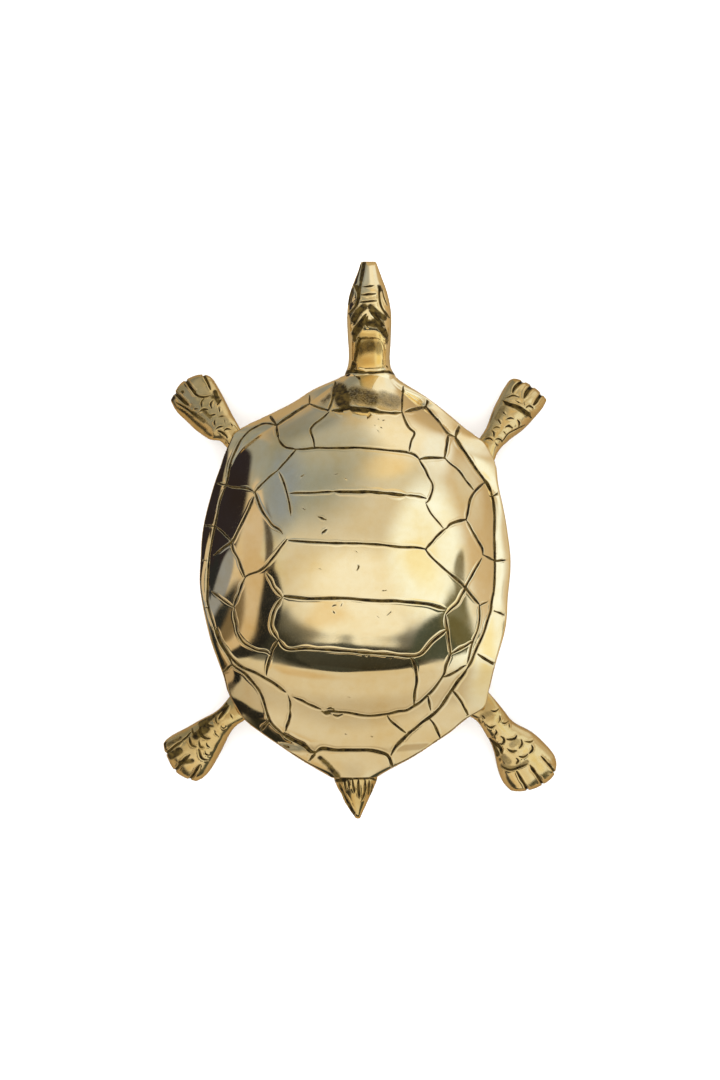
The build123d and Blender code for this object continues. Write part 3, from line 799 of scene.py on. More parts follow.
def node(tree, kind, *operands, **values):
    """A shader node with some of its properties and inputs set. A value from another node is linked.

    The operands are its inputs in order, where they have no names of their own.
    """
    made = tree.nodes.new(kind)

    def fill_in(socket, value):
        if isinstance(value, bpy.types.NodeSocket):
            tree.links.new(value, socket)
        else:
            socket.default_value = value

    for key, value in values.items():
        if hasattr(made, key):
            setattr(made, key, value)
        else:
            fill_in(made.inputs[key.replace("_", " ")], value)
    for i, value in enumerate(operands):
        fill_in(made.inputs[i], value)
    return made


def linear(colour):
    """A colour named by its 0 to 255 display values, as light."""
    parts = np.array(colour) / 255
    return np.where(parts <= 0.04045, parts / 12.92, ((parts + 0.055) / 1.055) ** 2.4)


def brass(name, light, gold, roughness, grain, darker_rows=None):
    """Polished cast brass with dark patina in the cuts, painted shade and dark reflection where the vertices
    mark it, faint polishing scratches and golden patches.

    Between two given places along Y it turns a little darker, and stays darker beyond the second.
    """
    material = bpy.data.materials.new(name)
    material.use_nodes = True
    tree = material.node_tree
    tree.nodes.clear()
    place = node(tree, "ShaderNodeTexCoord").outputs["Object"]

    def noise(scale, detail, stretch=(1, 1, 1)):
        stretched = node(tree, "ShaderNodeMapping", Vector=place, Scale=stretch).outputs["Vector"]
        return node(tree, "ShaderNodeTexNoise", Vector=stretched, Scale=scale, Detail=detail).outputs["Fac"]

    def between(value, low, high, to_low, to_high):
        made = node(
            tree, "ShaderNodeMapRange",
            Value=value, From_Min=low, From_Max=high, To_Min=to_low, To_Max=to_high,
        )
        return made.outputs["Result"]

    def mixed(factor, first, second):
        made = node(tree, "ShaderNodeMix", data_type="RGBA", Factor=factor, A=first, B=second)
        return made.outputs["Result"]

    def combined(first, second, operation="ADD"):
        return node(tree, "ShaderNodeMath", first, second, operation=operation).outputs["Value"]

    # Golden patches in two sizes, held between 0 and 1
    broad_patches = between(noise(70, 3), 0.42, 0.72, 0, 0.85)
    small_patches = between(noise(420, 3), 0.4, 0.75, 0, 0.32)
    patches = between(combined(broad_patches, small_patches), 0, 1, 0, 1)
    colour = mixed(patches, light, gold)
    # The shell turns darker towards its rear
    if darker_rows:
        parts = node(tree, "ShaderNodeSeparateXYZ", Vector=place)
        darker_light, darker_gold = (tuple(np.multiply(part, rear_dark_tint)) for part in (light, gold))
        darker_share = between(parts.outputs["Y"], *darker_rows, 0, 1)
        colour = mixed(darker_share, colour, mixed(patches, darker_light, darker_gold))

    # Patina in the cuts and stains, and the painted shade and dark reflection of some soft marks, with a
    # slightly ragged edge
    cut = node(tree, "ShaderNodeAttribute", attribute_name="patina_and_shade").outputs["Fac"]
    ragged = between(noise(2200, 2), 0.3, 0.7, 0.82, 1.06)
    cover = between(combined(cut, ragged, "MULTIPLY"), 0.16, 0.72, 0, 1)
    stain_and_shade = mixed(between(noise(620, 3), 0.38, 0.62, 0, 1), patina_and_shade_dark, patina_and_shade_olive)

    # Scratches along and across, dull where the metal is worn or covered
    scratch = noise(900, 4, (1, 14, 1))
    cross_scratch = noise(1300, 3, (16, 1, 1))
    scratched = between(scratch, 0.5, 0.8, 0, grain)
    worn = combined(scratched, between(noise(120, 4), 0.35, 0.75, roughness, 2.2 * roughness))
    scratches = combined(scratch, cross_scratch)
    bump = node(tree, "ShaderNodeBump", Strength=0.06, Distance=0.02 * mm, Height=scratches)

    shader = node(
        tree, "ShaderNodeBsdfPrincipled",
        Specular_IOR_Level=0.25,
        Base_Color=mixed(cover, colour, stain_and_shade),
        Metallic=between(cover, 0, 1, 1, 0.85),
        Roughness=combined(worn, between(cover, 0, 1, 0, 0.45)),
        Normal=bump.outputs["Normal"],
    )
    node(tree, "ShaderNodeOutputMaterial", Surface=shader.outputs["BSDF"])
    return material


def dress(piece, material, node_name):
    """Gives a piece its material and slot, and hides the CAD node that it stands for. All ride on the root.
    """
    piece.data.materials.append(material)
    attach(piece, "root")
    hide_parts(node_name)


darker_rows = [y_at(row_px) for row_px in darker_rows_px]
shell_metal = brass("shell_brass", brass_light, brass_gold, roughness=0.035, grain=0.10, darker_rows=darker_rows)
leg_metal = brass("leg_brass", leg_light, leg_gold, roughness=0.10, grain=0.14)
belly_metal = brass("belly_brass", brass_gold, brass_plain, roughness=0.24, grain=0.2)
screw_metal = brass("screw_brass", brass_light, brass_gold, roughness=0.16, grain=0.15)


# Shell

shell_cuts = Cuts(
    cut_lines(shell_grooves_px, widening=1.35, depth_share=0.58)
    + cut_lines(shell_pits_px, widening=1, depth_share=0.45),
    taper=1.4 * mm,
    valley=0.018 * mm,
    burr=0.09,
)

# Where the mesh is fine: beside the grooves, in half widths from their middle, and beside the marginal
# seams, in widths of their bend
groove_sides = (0, 0.5, 1.0, 1.6, 2.5)
seam_sides = (-1, -0.5, 0, 0.5, 1)
seam_gap = 0.16 * mm

# The plain part of the mesh: the spacing and least gap of its points, how far inside the top's edge they
# begin, the same for the first ring of points, and the cells of the search for near points
shell_spacing = 0.72 * mm
shell_gap = 0.42 * mm
shell_margin = 0.25 * mm
shell_ring_margin = 0.4 * mm
ring_gap = 0.1 * mm
shell_cell = 0.12 * mm

# The rings of the rim, as parts of the arc round its corner and of the straight way down to its foot
rim_parts = (0.12, 0.26, 0.4, 0.52, 0.64, 0.76, 0.88, 1.0)
foot_parts = (0.25, 0.5, 0.75, 1.0)


def shell_outline(samples=240, spacing=0.45 * mm, times=6):
    """The rim seen from above, anticlockwise, with its corners at the neck and tail rounded."""
    rows_px = np.linspace(rim_px[0][0], rim_px[-1][0], samples)
    left, right = (edge_places(rim_line, rows_px) for rim_line in rim_lines)
    return soften(even_loop(np.vstack([left, right[::-1]]), spacing), times)


def leg_pocket(places):
    """How much of a leg's pocket covers each place by the rim, from 0 to 1."""
    away = np.min([np.linalg.norm(places - root, axis=1) for root in leg_roots], axis=0)
    return np.clip((pocket_radius - away) / pocket_fade, 0, 1)


def beside_seams(row_step_px=0.7):
    """Points along both marginal seams and beside them, where the dome turns into the band."""
    rows_px = np.arange(rim_px[0][0], rim_px[-1][0], row_step_px)
    layers = []
    for seam_line in seam_lines:
        seam = edge_places(seam_line, rows_px)
        side = directions(seam)[:, ::-1] * (1, -1)
        layers.append((np.vstack([seam + side * share * seam_blend for share in seam_sides]), seam_gap))
    return layers


def build_shell():
    """The shell: a finely cut top, a rounded rim, the tuck below it and the hollow inside."""
    outline = shell_outline()
    outward = loop_outward(outline, 4)
    row_px = row_at(outline[:, 1])
    at_neck = smooth_step((square_rows_px[0] - row_px) / square_blend_px)
    at_tail = smooth_step((row_px - square_rows_px[1]) / square_blend_px)
    square_end = np.maximum(at_neck, at_tail)
    inset = (rim_inset + (square_inset - rim_inset) * square_end)[:, None]
    edge = outline - outward * inset

    field = grid_over(outline, shell_spacing)
    layers = [*shell_cuts.crowd(groove_sides), *beside_seams(), (field, shell_gap)]
    layers = within(layers, outline - outward * (inset + shell_margin))
    first_ring = outline - outward * (inset + shell_ring_margin)
    points = spread([(first_ring, ring_gap), *layers], shell_cell)
    casting = Casting(edge, points, shell_height, shell_cuts, shell_stains_and_reflection_px)

    # The rim's section is an arc from the edge of the top, round the corner and down to the foot
    edge_z = casting.places[0][casting.border, 2]
    pocket_z = seat + (lug_top - seat) * leg_pocket(outline)
    rim_z = seat + lift_at(share_at(outline[:, 1])) * rim_lift + bead_height(row_px, outline[:, 0]) - rim_drop
    rim_z += (edge_z - square_drop - rim_z) * square_end
    start = np.column_stack([edge, edge_z])
    corner = np.column_stack([outline + outward * rim_swell, rim_z])
    foot = np.column_stack([outline - outward * foot_share * rim_tuck, pocket_z])
    fall = foot - corner
    down = corner + fall * np.clip(rim_round / np.linalg.norm(fall, axis=1), 0, 1)[:, None]
    for part in rim_parts:
        casting.add_ring((1 - part) ** 2 * start + 2 * part * (1 - part) * corner + part**2 * down)
    for part in foot_parts:
        casting.add_ring(down + (foot - down) * part)

    def hollow_height(x, y):
        return np.maximum(shell_height(x, y) - ceiling_share * wall, pocket_z.min())

    hollow = outline - outward * (rim_tuck + 0.5 * wall)
    hollow_points = field[::7]
    hollow_points = hollow_points[inside_loop(hollow_points, outline - outward * (rim_tuck + wall))]
    casting.close(hollow, hollow_points, hollow_height)
    dress(casting.make("domed_shell", 1), shell_metal, "carapace")


build_shell()


# Legs, head and tail

# Where their mesh is fine, in half widths from the middle of a cut, how far inside the top's edge the points
# of the mesh and their first ring begin, and the cells of the search for near points
limb_cut_sides = (0, 0.5, 1.0, 1.6)
limb_margin = 0.15 * mm
limb_ring_margin = 0.2 * mm
limb_cell = 0.1 * mm

# The rings of a limb's rounded edges, as shares of the way out to its outline
top_reaches = (0.3, 0.55, 0.75, 0.9, 0.97, 1.0)
under_reaches = (1.0, 0.97, 0.85, 0.6, 0.0)

# The underside's mesh: the spacing of its points, and how far inside its edge they begin
under_spacing = 1.6 * mm
under_margin = 0.5 * mm

# A cut of this depth bites fully into the outline
notch_depth = 0.5 * mm


def limb(name, outline, top, bottom, cuts, stains_and_shade, spacing, inset, notch=0, wall_rings=0):
    """A closed casting: a cut upper side, a rounded edge out to its outline, and a plain underside.

    Where a deep cut crosses the outline, it bites in by up to the notch.
    """
    outward = loop_outward(outline, 3)
    row, _, distance = cuts.nearest(outline)
    bite = np.clip(1 - (distance / row[:, 4]) ** 2, 0, 1) * np.clip(row[:, 5] / notch_depth, 0, 1)
    outline = outline - outward * (notch * bite)[:, None]
    edge = outline - outward * inset

    first_ring = outline - outward * (inset + limb_ring_margin)
    field = grid_over(outline, spacing)
    layers = [(first_ring, ring_gap), *cuts.crowd(limb_cut_sides), (field, 0.6 * spacing)]
    layers = within(layers, outline - outward * (inset + limb_margin))
    casting = Casting(edge, spread(layers, limb_cell), top, cuts, stains_and_shade)

    for reach in top_reaches:
        ring = outline - outward * inset * (1 - reach)
        fall, _, patina_and_shade = cuts.relief(ring)
        casting.add_ring(np.column_stack([ring, top(*ring.T) + fall]), patina_and_shade)
    upper = casting.places[-1]
    lower = np.column_stack([outline, bottom(*outline.T)])
    for step in range(1, wall_rings + 1):
        casting.add_ring(upper + (lower - upper) * step / (wall_rings + 1), patina_and_shade)
    for reach in under_reaches:
        ring = outline - outward * inset * (1 - reach)
        casting.add_ring(np.column_stack([ring, bottom(*ring.T)]))

    under_points = grid_over(outline, under_spacing)
    under_points = under_points[inside_loop(under_points, outline - outward * (inset + under_margin))]
    casting.close(edge, under_points, bottom)
    return casting.make(name, 0)


def leg_shape(front_px, tips_px, rear_px, crest_share, front_power, rear_power):
    """The outline of a leg seen from above, and the heights of its upper side and its underside."""
    front, tips, rear = edge_line(front_px), edge_line(tips_px), edge_line(rear_px)
    loop = np.vstack([front.rows[:, :2], tips.rows[1:-1, :2], rear.rows[::-1, :2]])
    root = (front.rows[0, :2] + rear.rows[0, :2]) / 2
    axis = tips.rows[len(tips.rows) // 2, :2] - root

    def station(x, y):
        along = ((x - root[0]) * axis[0] + (y - root[1]) * axis[1]) / (axis @ axis)
        return leg_stations[0] + (1 - leg_stations[0]) * along

    def bottom(x, y):
        return np.interp(station(x, y), leg_stations, leg_undersides)

    def top(x, y):
        places = np.stack([x, y], axis=1)
        to_front, to_rear, to_tips = (line.nearest(places)[2] for line in (front, rear, tips))
        across = to_front / (to_front + to_rear)
        ahead = np.clip((crest_share - across) / crest_share, 0, 1)
        behind = np.clip((across - crest_share) / (1 - crest_share), 0, 1)
        crown = np.where(
            ahead > 0,
            (1 - ahead**front_power) ** (1 / front_power),
            (1 - behind**rear_power) ** (1 / rear_power),
        )
        toe = np.sqrt(1 - np.clip(1 - to_tips / toe_round, 0, 1) ** 2)
        high = leg_top_at(station(x, y))
        low = bottom(x, y)
        side = low + side_share * (high - low)
        return side + (high - side) * crown * (toe_edge + (1 - toe_edge) * toe)

    return limb_outline(loop, 2), top, bottom


# The legs: a place along the leg, then the heights of its crest and its underside there as shares of the seat
leg_shares = (
    (-0.12, 1.48, 1.10),
    (0.0, 1.48, 1.08),
    (0.17, 1.50, 0.84),
    (0.31, 1.36, 0.42),
    (0.635, 1.06, 0.0),
    (0.79, 0.88, 0.0),
    (0.925, 0.70, 0.0),
    (1.0, 0.50, 0.0),
)
leg_stations, leg_crests, leg_undersides = (np.array(leg_shares) * (1, seat, seat)).T
leg_top_at = smooth_line(leg_stations, leg_crests)

# How high a leg's sides meet and its toes end, as shares of its height, and the rounding of the toes
side_share = 0.42
toe_edge = 0.45
toe_round = 0.9 * mm

# Each leg seen from above, in pixels: its front edge from the root out, the tips of its toes and its rear
# edge, then how far back its crest lies with the powers of the curves in front of it and behind it. Its slots
# and scales are a width, then points. Its stains are a radius and a strength, then points. A few of these
# marks are painted shadow, as noted beside them.
legs = {
    "front_left": {
        "front": ((243, 435), (239, 426.6), (233.8, 417.4), (228.5, 407.4), (224, 398.3), (218.5, 388.3),
                  (214, 380.7)),
        "tips": ((214, 380.7), (210.5, 376.8), (207, 375), (202.4, 374.2), (194.8, 375.3), (185.6, 379.5),
                 (181, 382.6), (173.4, 394.4), (170.3, 400)),
        "rear": ((236, 455), (225.8, 446.5), (220, 441), (212.4, 440), (204, 436), (194.8, 429.2),
                 (185.6, 420.4), (176.4, 411.3), (170.3, 400)),
        "crest": (0.50, 2.6, 1.6),
        "slots": (
            (3.6, (181, 373), (185.5, 379.7), (190.6, 387.3), (195.7, 393.7), (198.3, 396.5)),
            (2.6, (201, 369), (204, 375.8), (207.2, 382.2), (210.4, 389.9)),
            (3.8, (168, 388), (174.7, 393.1), (179.1, 396.9), (188.1, 405.2)),
            (2.6, (176, 402.6), (181, 405.2), (188.1, 409.6), (195.7, 415.4)),
        ),
        "scales": (
            (2.0, (195.7, 393.1), (198.3, 395.6), (202.1, 396.9), (209.1, 395.6)),
            (2.0, (204, 398.8), (201.5, 401.4), (201.8, 407.1)),
            (2.4, (212.3, 400.7), (210.7, 403.3), (211.3, 407.7)),
            (1.8, (194.1, 409), (198.3, 408.4)),
            (2.2, (199.5, 411.2), (202.1, 409.6), (207.8, 409.3)),
            (1.8, (218.7, 407.1), (219.3, 412.2)),
            (1.9, (209.7, 415.4), (216.1, 413.8)),
            (1.9, (218.7, 416.7), (224.4, 415.7)),
            (1.8, (214.8, 419.8), (214.2, 423), (215.5, 426.2)),
            (2.1, (216.1, 428.8), (219.3, 426.9), (223.1, 426.2)),
            (1.9, (223.8, 430.7), (227, 428.8), (230.8, 429.4)),
            (1.8, (230.8, 423.7), (232.7, 426.2)),
            (2.6, (218.7, 431.3), (222.5, 432.6), (227, 437.7)),
            (1.6, (224.4, 420.6), (225, 423.3)),
            # A painted shadow: the dark fill of this cut stands for shade along the leg
            (3.0, (214.8, 390.5), (217.4, 398.2)),
            (2.2, (217.4, 404.5), (221.2, 399.4)),
            (3.6, (182, 391.2), (182.7, 392.4)),
        ),
        "stains_and_shade": (
            # A painted shadow along the leg, over the cut noted above
            (2.6, 0.8, (215, 392), (217.5, 401)),
            (2.4, 0.75, (218, 398), (212.5, 397)),
            (2.6, 0.7, (193, 413), (204, 421)),
            (2.4, 0.7, (204, 411), (210, 417)),
            (1.6, 1.0, (182, 391), (182.8, 392.6)),
        ),
    },
    "front_right": {
        "front": ((475, 446), (480.2, 437.3), (485.6, 429), (489.4, 419.7), (493.3, 409), (498.6, 398.3),
                  (504, 388.3), (508.8, 381)),
        "tips": ((508.8, 381), (512.4, 378.6), (520, 379.5), (529.2, 383.7), (536, 388.3), (543, 394.8),
                 (547, 399.6)),
        "rear": ((485, 469), (494.8, 459.5), (496.3, 455.6), (498.6, 451), (504.7, 444.2), (513, 437.3),
                 (522.3, 430.4), (531.5, 421.2), (537.6, 414.3), (543, 407.5), (547, 399.6)),
        "crest": (0.50, 2.4, 1.9),
        "slots": (
            (3.6, (529, 378), (521.7, 381.8), (517.2, 384.7), (514, 389.1), (512.7, 392.3)),
            (4.4, (537, 381), (532.5, 385.9), (527.4, 391), (524.2, 397.4)),
            (4.0, (546, 388), (541.4, 394.2), (538.2, 398.7), (533.8, 404.8)),
            (3.6, (503.2, 400.6), (509.5, 404.4), (517.2, 406.4), (522.9, 409.5), (527.4, 413.4),
             (531.2, 417.8)),
        ),
        "scales": (
            (1.6, (505.1, 397.7), (508.3, 397.1), (513.4, 395.2), (518.5, 397.1)),
            (1.5, (515.9, 400.6), (521, 403.4)),
            (1.5, (524.2, 402), (524.8, 405.1)),
            (2.0, (526.1, 407.6), (528.7, 406), (533.8, 408.3)),
            (1.9, (503.2, 412.1), (505.1, 414.6)),
            (2.0, (498.1, 419.7), (500.6, 423.6)),
            (1.8, (506.4, 419.1), (510.8, 417.8), (514, 418.8)),
            (2.3, (517.2, 419.7), (519.4, 422.9), (519.1, 426.1)),
            (2.3, (505.7, 426.8), (508.9, 425.8), (512.7, 428)),
            (1.8, (493.6, 428), (496.8, 426.8), (500, 428)),
            (2.0, (491.7, 430.6), (493.9, 433.8), (493.6, 437)),
            (1.6, (503.8, 431.2), (505.7, 433.8)),
            (2.0, (485.9, 438.9), (489.1, 438.2), (493, 440.8)),
            (2.0, (495.5, 439.2), (498.1, 438.9), (501.9, 440.8)),
            (2.0, (495.5, 442.7), (497.4, 445.9)),
            (1.4, (524.8, 424.8), (514.6, 430), (508.3, 433.8), (505.1, 437.6), (501.9, 442.1)),
        ),
        "stains_and_shade": (
            (1.8, 0.95, (506, 403.6), (517, 408), (527, 415)),
            (3.4, 0.6, (503, 408), (497, 418)),
            (2.6, 0.5, (489, 433), (486, 438)),
        ),
    },
    "rear_left": {
        "front": ((236, 690), (228.8, 697.6), (222.7, 705.2), (213.5, 713), (202, 719), (189.8, 726),
                  (176.8, 732.8), (166.8, 739.3), (163.2, 743.2)),
        "tips": ((163.2, 743.2), (163.8, 749), (166.8, 757.3), (170, 764.2), (174.5, 771), (183, 777.2),
                 (190.6, 780.2), (196, 781.6)),
        "rear": ((252, 712), (244, 720.6), (238, 724.4), (231, 732), (225.7, 742), (220.4, 752.7),
                 (215, 762.6), (209, 771.8), (200.5, 779.5), (196, 781.6)),
        "crest": (0.46, 2.2, 2.0),
        "slots": (
            (2.8, (160, 758.5), (165.8, 753.8), (173.5, 747.4), (181.8, 741)),
            (3.2, (168.5, 778), (174.1, 771.3), (180.5, 764), (189.4, 755.1)),
            (3.2, (186, 785), (190.1, 779.3), (194.5, 772.9), (199.6, 765.3)),
            (3.6, (228.5, 705.6), (224, 711.5), (218.8, 718.7)),
        ),
        "scales": (
            (2.0, (192, 728.3), (192.6, 732.1), (195.8, 735.9), (198.4, 736.9)),
            (2.2, (189.4, 737.2), (189.8, 741.7), (192, 745.5), (195.8, 746.8)),
            (2.4, (200.9, 725.7), (199.6, 730.8), (202.2, 735.9), (206, 738.5), (209.8, 738.8)),
            (2.0, (206, 720), (206, 723.2), (209.2, 725.7), (213.7, 726.4)),
            (1.8, (216.2, 716.8), (215.6, 720.6), (217.5, 724.4)),
            (2.2, (199, 741), (199, 744.2), (200.9, 747.4), (204.1, 747.4)),
            (1.8, (206, 742.9), (207.3, 746.1), (210.5, 748)),
            (2.2, (198.4, 749.3), (199.6, 753.8), (202.2, 758.9), (207.9, 760.2)),
            (1.8, (204.6, 751), (206, 754.6), (209.5, 755.6)),
            (1.6, (214.3, 730.8), (215.6, 734.6), (217.5, 735.9)),
            (1.6, (220.7, 726.4), (223.2, 728.3), (226.4, 727)),
            (1.8, (230.3, 714.2), (232.8, 718.7)),
            (2.0, (181.8, 741), (187, 736.5), (191, 732)),
        ),
        "stains_and_shade": (
            (4.2, 0.95, (202, 724), (214, 713), (224, 705)),
            (4.4, 0.85, (196, 736), (206, 729)),
            (4.0, 0.95, (171, 756), (179, 751)),
            (2.6, 0.8, (180, 763), (192, 761)),
            (2.4, 0.7, (168, 745), (180, 738)),
        ),
    },
    "rear_right": {
        "front": ((484, 688), (491.3, 695.3), (499, 704.5), (505, 712), (511.2, 719.8), (517.3, 724.4),
                  (526.5, 729), (535.7, 735), (544, 742.7), (551, 750.4), (555.6, 758), (556.8, 764)),
        "tips": ((556.8, 764), (555.2, 773.3), (551, 779.5), (543.3, 784.8), (535.7, 788.6), (526.5, 791),
                 (516.6, 791.7), (511, 790.8)),
        "rear": ((462, 709), (470.7, 717), (473, 718.3), (479, 723.6), (484.4, 732), (490.6, 742.7),
                 (494.4, 753.5), (496.7, 764.2), (499.7, 775), (505, 784.8), (511, 790.8)),
        "crest": (0.52, 2.1, 2.3),
        "slots": (
            (2.6, (541.3, 756.2), (547.9, 763.5), (554.9, 772.3), (559, 778)),
            (3.0, (530.3, 765.7), (536.2, 774.5), (543.1, 784.4), (547, 790)),
            (2.9, (516.7, 771.6), (521.5, 779.6), (527.4, 789.9), (530, 796)),
            (3.6, (489.9, 738.6), (496.5, 744.4), (500.4, 748), (501.6, 754)),
            (2.4, (492.8, 743.5), (495.6, 750.5), (498.6, 756.5)),
        ),
        "scales": (
            (2.0, (491.4, 710.3), (494.3, 711.4), (498.4, 709.2)),
            (1.9, (499.5, 715.8), (500.2, 719.5), (498.5, 722.6)),
            (2.0, (487, 725.7), (490.7, 727.6), (495.1, 725.7)),
            (1.9, (501.7, 722.8), (504.6, 723.5), (508.3, 721.7)),
            (1.9, (509.3, 724), (509.8, 727.6)),
            (2.0, (495.4, 729.8), (496.5, 732.7), (494.3, 736)),
            (2.2, (500.9, 736.4), (503.9, 739.3), (502.4, 743.7), (499.5, 743.7)),
            (2.1, (506.8, 739.3), (511.2, 739.7), (515.6, 737.8), (516.7, 734.9)),
            (2.4, (521.5, 740), (522.2, 743.7), (519.3, 748.1)),
            (2.3, (507.6, 748.8), (512, 751.8), (516.4, 750.3)),
            (2.0, (525.2, 741.5), (529.6, 742.2), (533.2, 740.8)),
            (2.4, (531.8, 745.2), (532.9, 748.8), (529.6, 753.2)),
            (2.1, (519.4, 756.5), (523.7, 757.3), (528.1, 754)),
            (2.3, (516.6, 758.6), (518.2, 760.6), (516.4, 764.2)),
            (1.8, (502.4, 766.4), (507.6, 769.4), (514.2, 769.4), (520, 767.2), (527.4, 764.2)),
            (2.0, (482.6, 715.8), (485.2, 718.7)),
            (2.0, (478.8, 719.6), (481.1, 723.2)),
        ),
        "stains_and_shade": (
            (3.0, 0.45, (482, 716), (491, 713)),
            (3.0, 1.0, (491, 742), (497, 754)),
            (2.6, 0.6, (502, 766), (515, 768), (527, 762)),
            (3.4, 0.55, (504, 757), (509, 762)),
            (3.6, 0.5, (512, 745), (517, 742)),
        ),
    },
}


def build_leg(name, leg):
    """One leg with its toe slots and scales."""
    shape = leg_shape(leg["front"], leg["tips"], leg["rear"], *leg["crest"])
    slots = cut_lines(leg["slots"], widening=1.15, depth_share=0.85)
    scales = cut_lines(leg["scales"], widening=1.35, depth_share=0.6)
    cuts = Cuts(slots + scales, taper=1.0 * mm, valley=0.10 * mm, burr=0.18)
    piece = limb(
        name + "_foot", *shape, cuts, leg["stains_and_shade"],
        spacing=0.4 * mm, inset=0.35 * mm, notch=0.45 * mm, wall_rings=3,
    )
    dress(piece, leg_metal, name + "_leg")


for name, leg in legs.items():
    build_leg(name, leg)


def tube_shape(edges_px, heights, ahead, end_px, end_round_px, seam_px, samples=240, end_gap_px=0.15):
    """The outline of the head or tail from above, and the heights of its upper side and underside.

    It runs from the row of its rounded end to the row of its seam: ahead is 1 down the photograph, -1 up it.
    """
    left_at, right_at = column_lines(edges_px)
    centre_at, over_at, under_at, power_at = column_lines(heights)
    rows_px = np.linspace(end_px + ahead * end_gap_px, seam_px, samples)
    left, right = (edge_places(edge_at, rows_px) for edge_at in (left_at, right_at))

    def height(x, y, sign, half_at):
        row_px = row_at(y)
        left_x, right_x = x_at(left_at(row_px)), x_at(right_at(row_px))
        across = np.clip(np.abs(2 * (x - left_x) / (right_x - left_x) - 1), 0, 1)
        power = power_at(row_px)
        end = np.clip(1 - (row_px - end_px) * ahead / end_round_px, 0, 1)
        section = (1 - across**power) ** (1 / power) * np.sqrt(1 - end**2)
        return centre_at(row_px) + sign * half_at(row_px) * section

    def top(x, y):
        return height(x, y, 1, over_at)

    def bottom(x, y):
        return height(x, y, -1, under_at)

    return limb_outline(np.vstack([left[::-1], right]), 5), top, bottom


# The head seen from above: the row, the left edge and the right edge, from the snout to the neck seam
head_px = (
    (261.8, 361.5, 375.5), (263, 360.8, 376.2), (268, 359.2, 378.2), (275, 356.7, 380.8), (282, 354, 383.3),
    (289, 351.4, 386), (296, 349.2, 388), (304, 347.9, 389.8), (312, 347.3, 391), (320, 347, 391.4),
    (330, 347.3, 391.2), (340, 347.9, 390.8), (348, 348.5, 390.4), (357, 348.8, 389.8), (364, 348.2, 390.2),
    (370, 346.6, 391.8), (375.5, 344.6, 395.2), (381, 344, 396),
)

# Its heights: the row, the middle, the rise over it, the fall under it and the power of its section
head_heights = (
    (261.8, 28.4 * mm, 1.9 * mm, 1.7 * mm, 1.8), (268.6, 28.95 * mm, 2.8 * mm, 2.6 * mm, 1.7),
    (281, 29.7 * mm, 4.2 * mm, 4.0 * mm, 1.7), (296.9, 30.3 * mm, 5.3 * mm, 5.4 * mm, 2.0),
    (311.7, 29.4 * mm, 5.9 * mm, 6.2 * mm, 2.4), (329.8, 25.8 * mm, 7.0 * mm, 7.6 * mm, 2.9),
    (346.8, 20.85 * mm, 7.1 * mm, 7.8 * mm, 3.2), (360.4, 16.95 * mm, 6.5 * mm, 6.6 * mm, 3.0),
    (369.4, 15.3 * mm, 5.9 * mm, 5.8 * mm, 2.6), (375.1, 15.0 * mm, 5.9 * mm, 5.9 * mm, 2.3),
    (381, 15.0 * mm, 5.9 * mm, 5.9 * mm, 2.3),
)

# Its cuts: the width in pixels, the depth as a share of it and the stain, then the points
head_cuts_px = (
    (2.3, 0.7, 1.0, (363.2, 287.2), (368.4, 287), (373.6, 286.1)),
    (2.4, 0.7, 1.0, (362, 295.3), (368.4, 294.9), (375.2, 294.2)),
    (2.3, 0.7, 1.0, (359.8, 302.6), (367.5, 302.1), (375.9, 301.5)),
    (2.6, 0.7, 1.0, (354, 285.4), (357.2, 291.3), (358.5, 296.5), (358.1, 301.6), (354.6, 308.5),
    (348.6, 314.4)),
    (2.8, 0.6, 1.0, (352.3, 289.2), (350.8, 297.3), (348.8, 305.1)),
    (2.4, 0.7, 1.0, (379.6, 287), (379.2, 294.8), (379.8, 301.6), (383, 310.2), (389.4, 318.4)),
    (1.6, 0.5, 0.8, (382.4, 289.5), (384.1, 298.2), (387.5, 306)),
    (3.4, 0.5, 1.0, (363.5, 308), (358, 316.5), (353.8, 325)),
    (3.4, 0.6, 1.0, (366, 314.8), (359.8, 323.2), (352.8, 331.6)),
    (3.2, 0.6, 1.0, (369.6, 311.4), (376.6, 318.5), (384.6, 326.8)),
    (2.6, 0.4, 0.9, (367.6, 316.6), (366, 322.3), (367.4, 327.6)),
    (3.2, 0.4, 0.9, (361.8, 325.8), (357.6, 331.5), (355.5, 339)),
    (2.6, 0.4, 0.8, (385, 328.5), (386.6, 336.1), (386.6, 344)),
    (3.6, 0.5, 1.0, (353.6, 361.9), (354.6, 365.8), (351, 369)),
    (4.2, 0.5, 1.0, (343, 374), (350, 371.6), (358, 372), (366, 372.6)),
    (2.8, 0.5, 0.9, (366, 372.6), (374.4, 372.6), (384, 372), (397, 374.2)),
    (4.6, 0.16, 0.85, (364.6, 260), (362.8, 272), (360.6, 284.5)),
)

# Its soft stains: the radius and the strength, then the points
head_stains_px = (
    (3.7, 1.0, (364, 307.5), (358, 313), (354, 320)),
    (3.7, 1.0, (364.5, 320), (359.5, 327.5), (355, 334)),
    (2.0, 1.0, (354.6, 334), (354.4, 340.5)),
    (3.1, 1.0, (370.5, 307.5), (377, 313.5), (384, 318.5)),
    (2.9, 0.95, (374, 321.5), (380.5, 328.5), (385.8, 336)),
    (3.6, 0.9, (365, 322.5), (375, 325)),
    (1.5, 1.0, (363.8, 262), (362.2, 272), (361, 282), (359.6, 292), (359, 299)),
    (1.9, 0.95, (357, 287), (358.6, 296), (356, 306)),
    (2.0, 0.85, (379, 287), (380.4, 291)),
    (1.8, 0.9, (353.4, 363), (352, 369)),
)

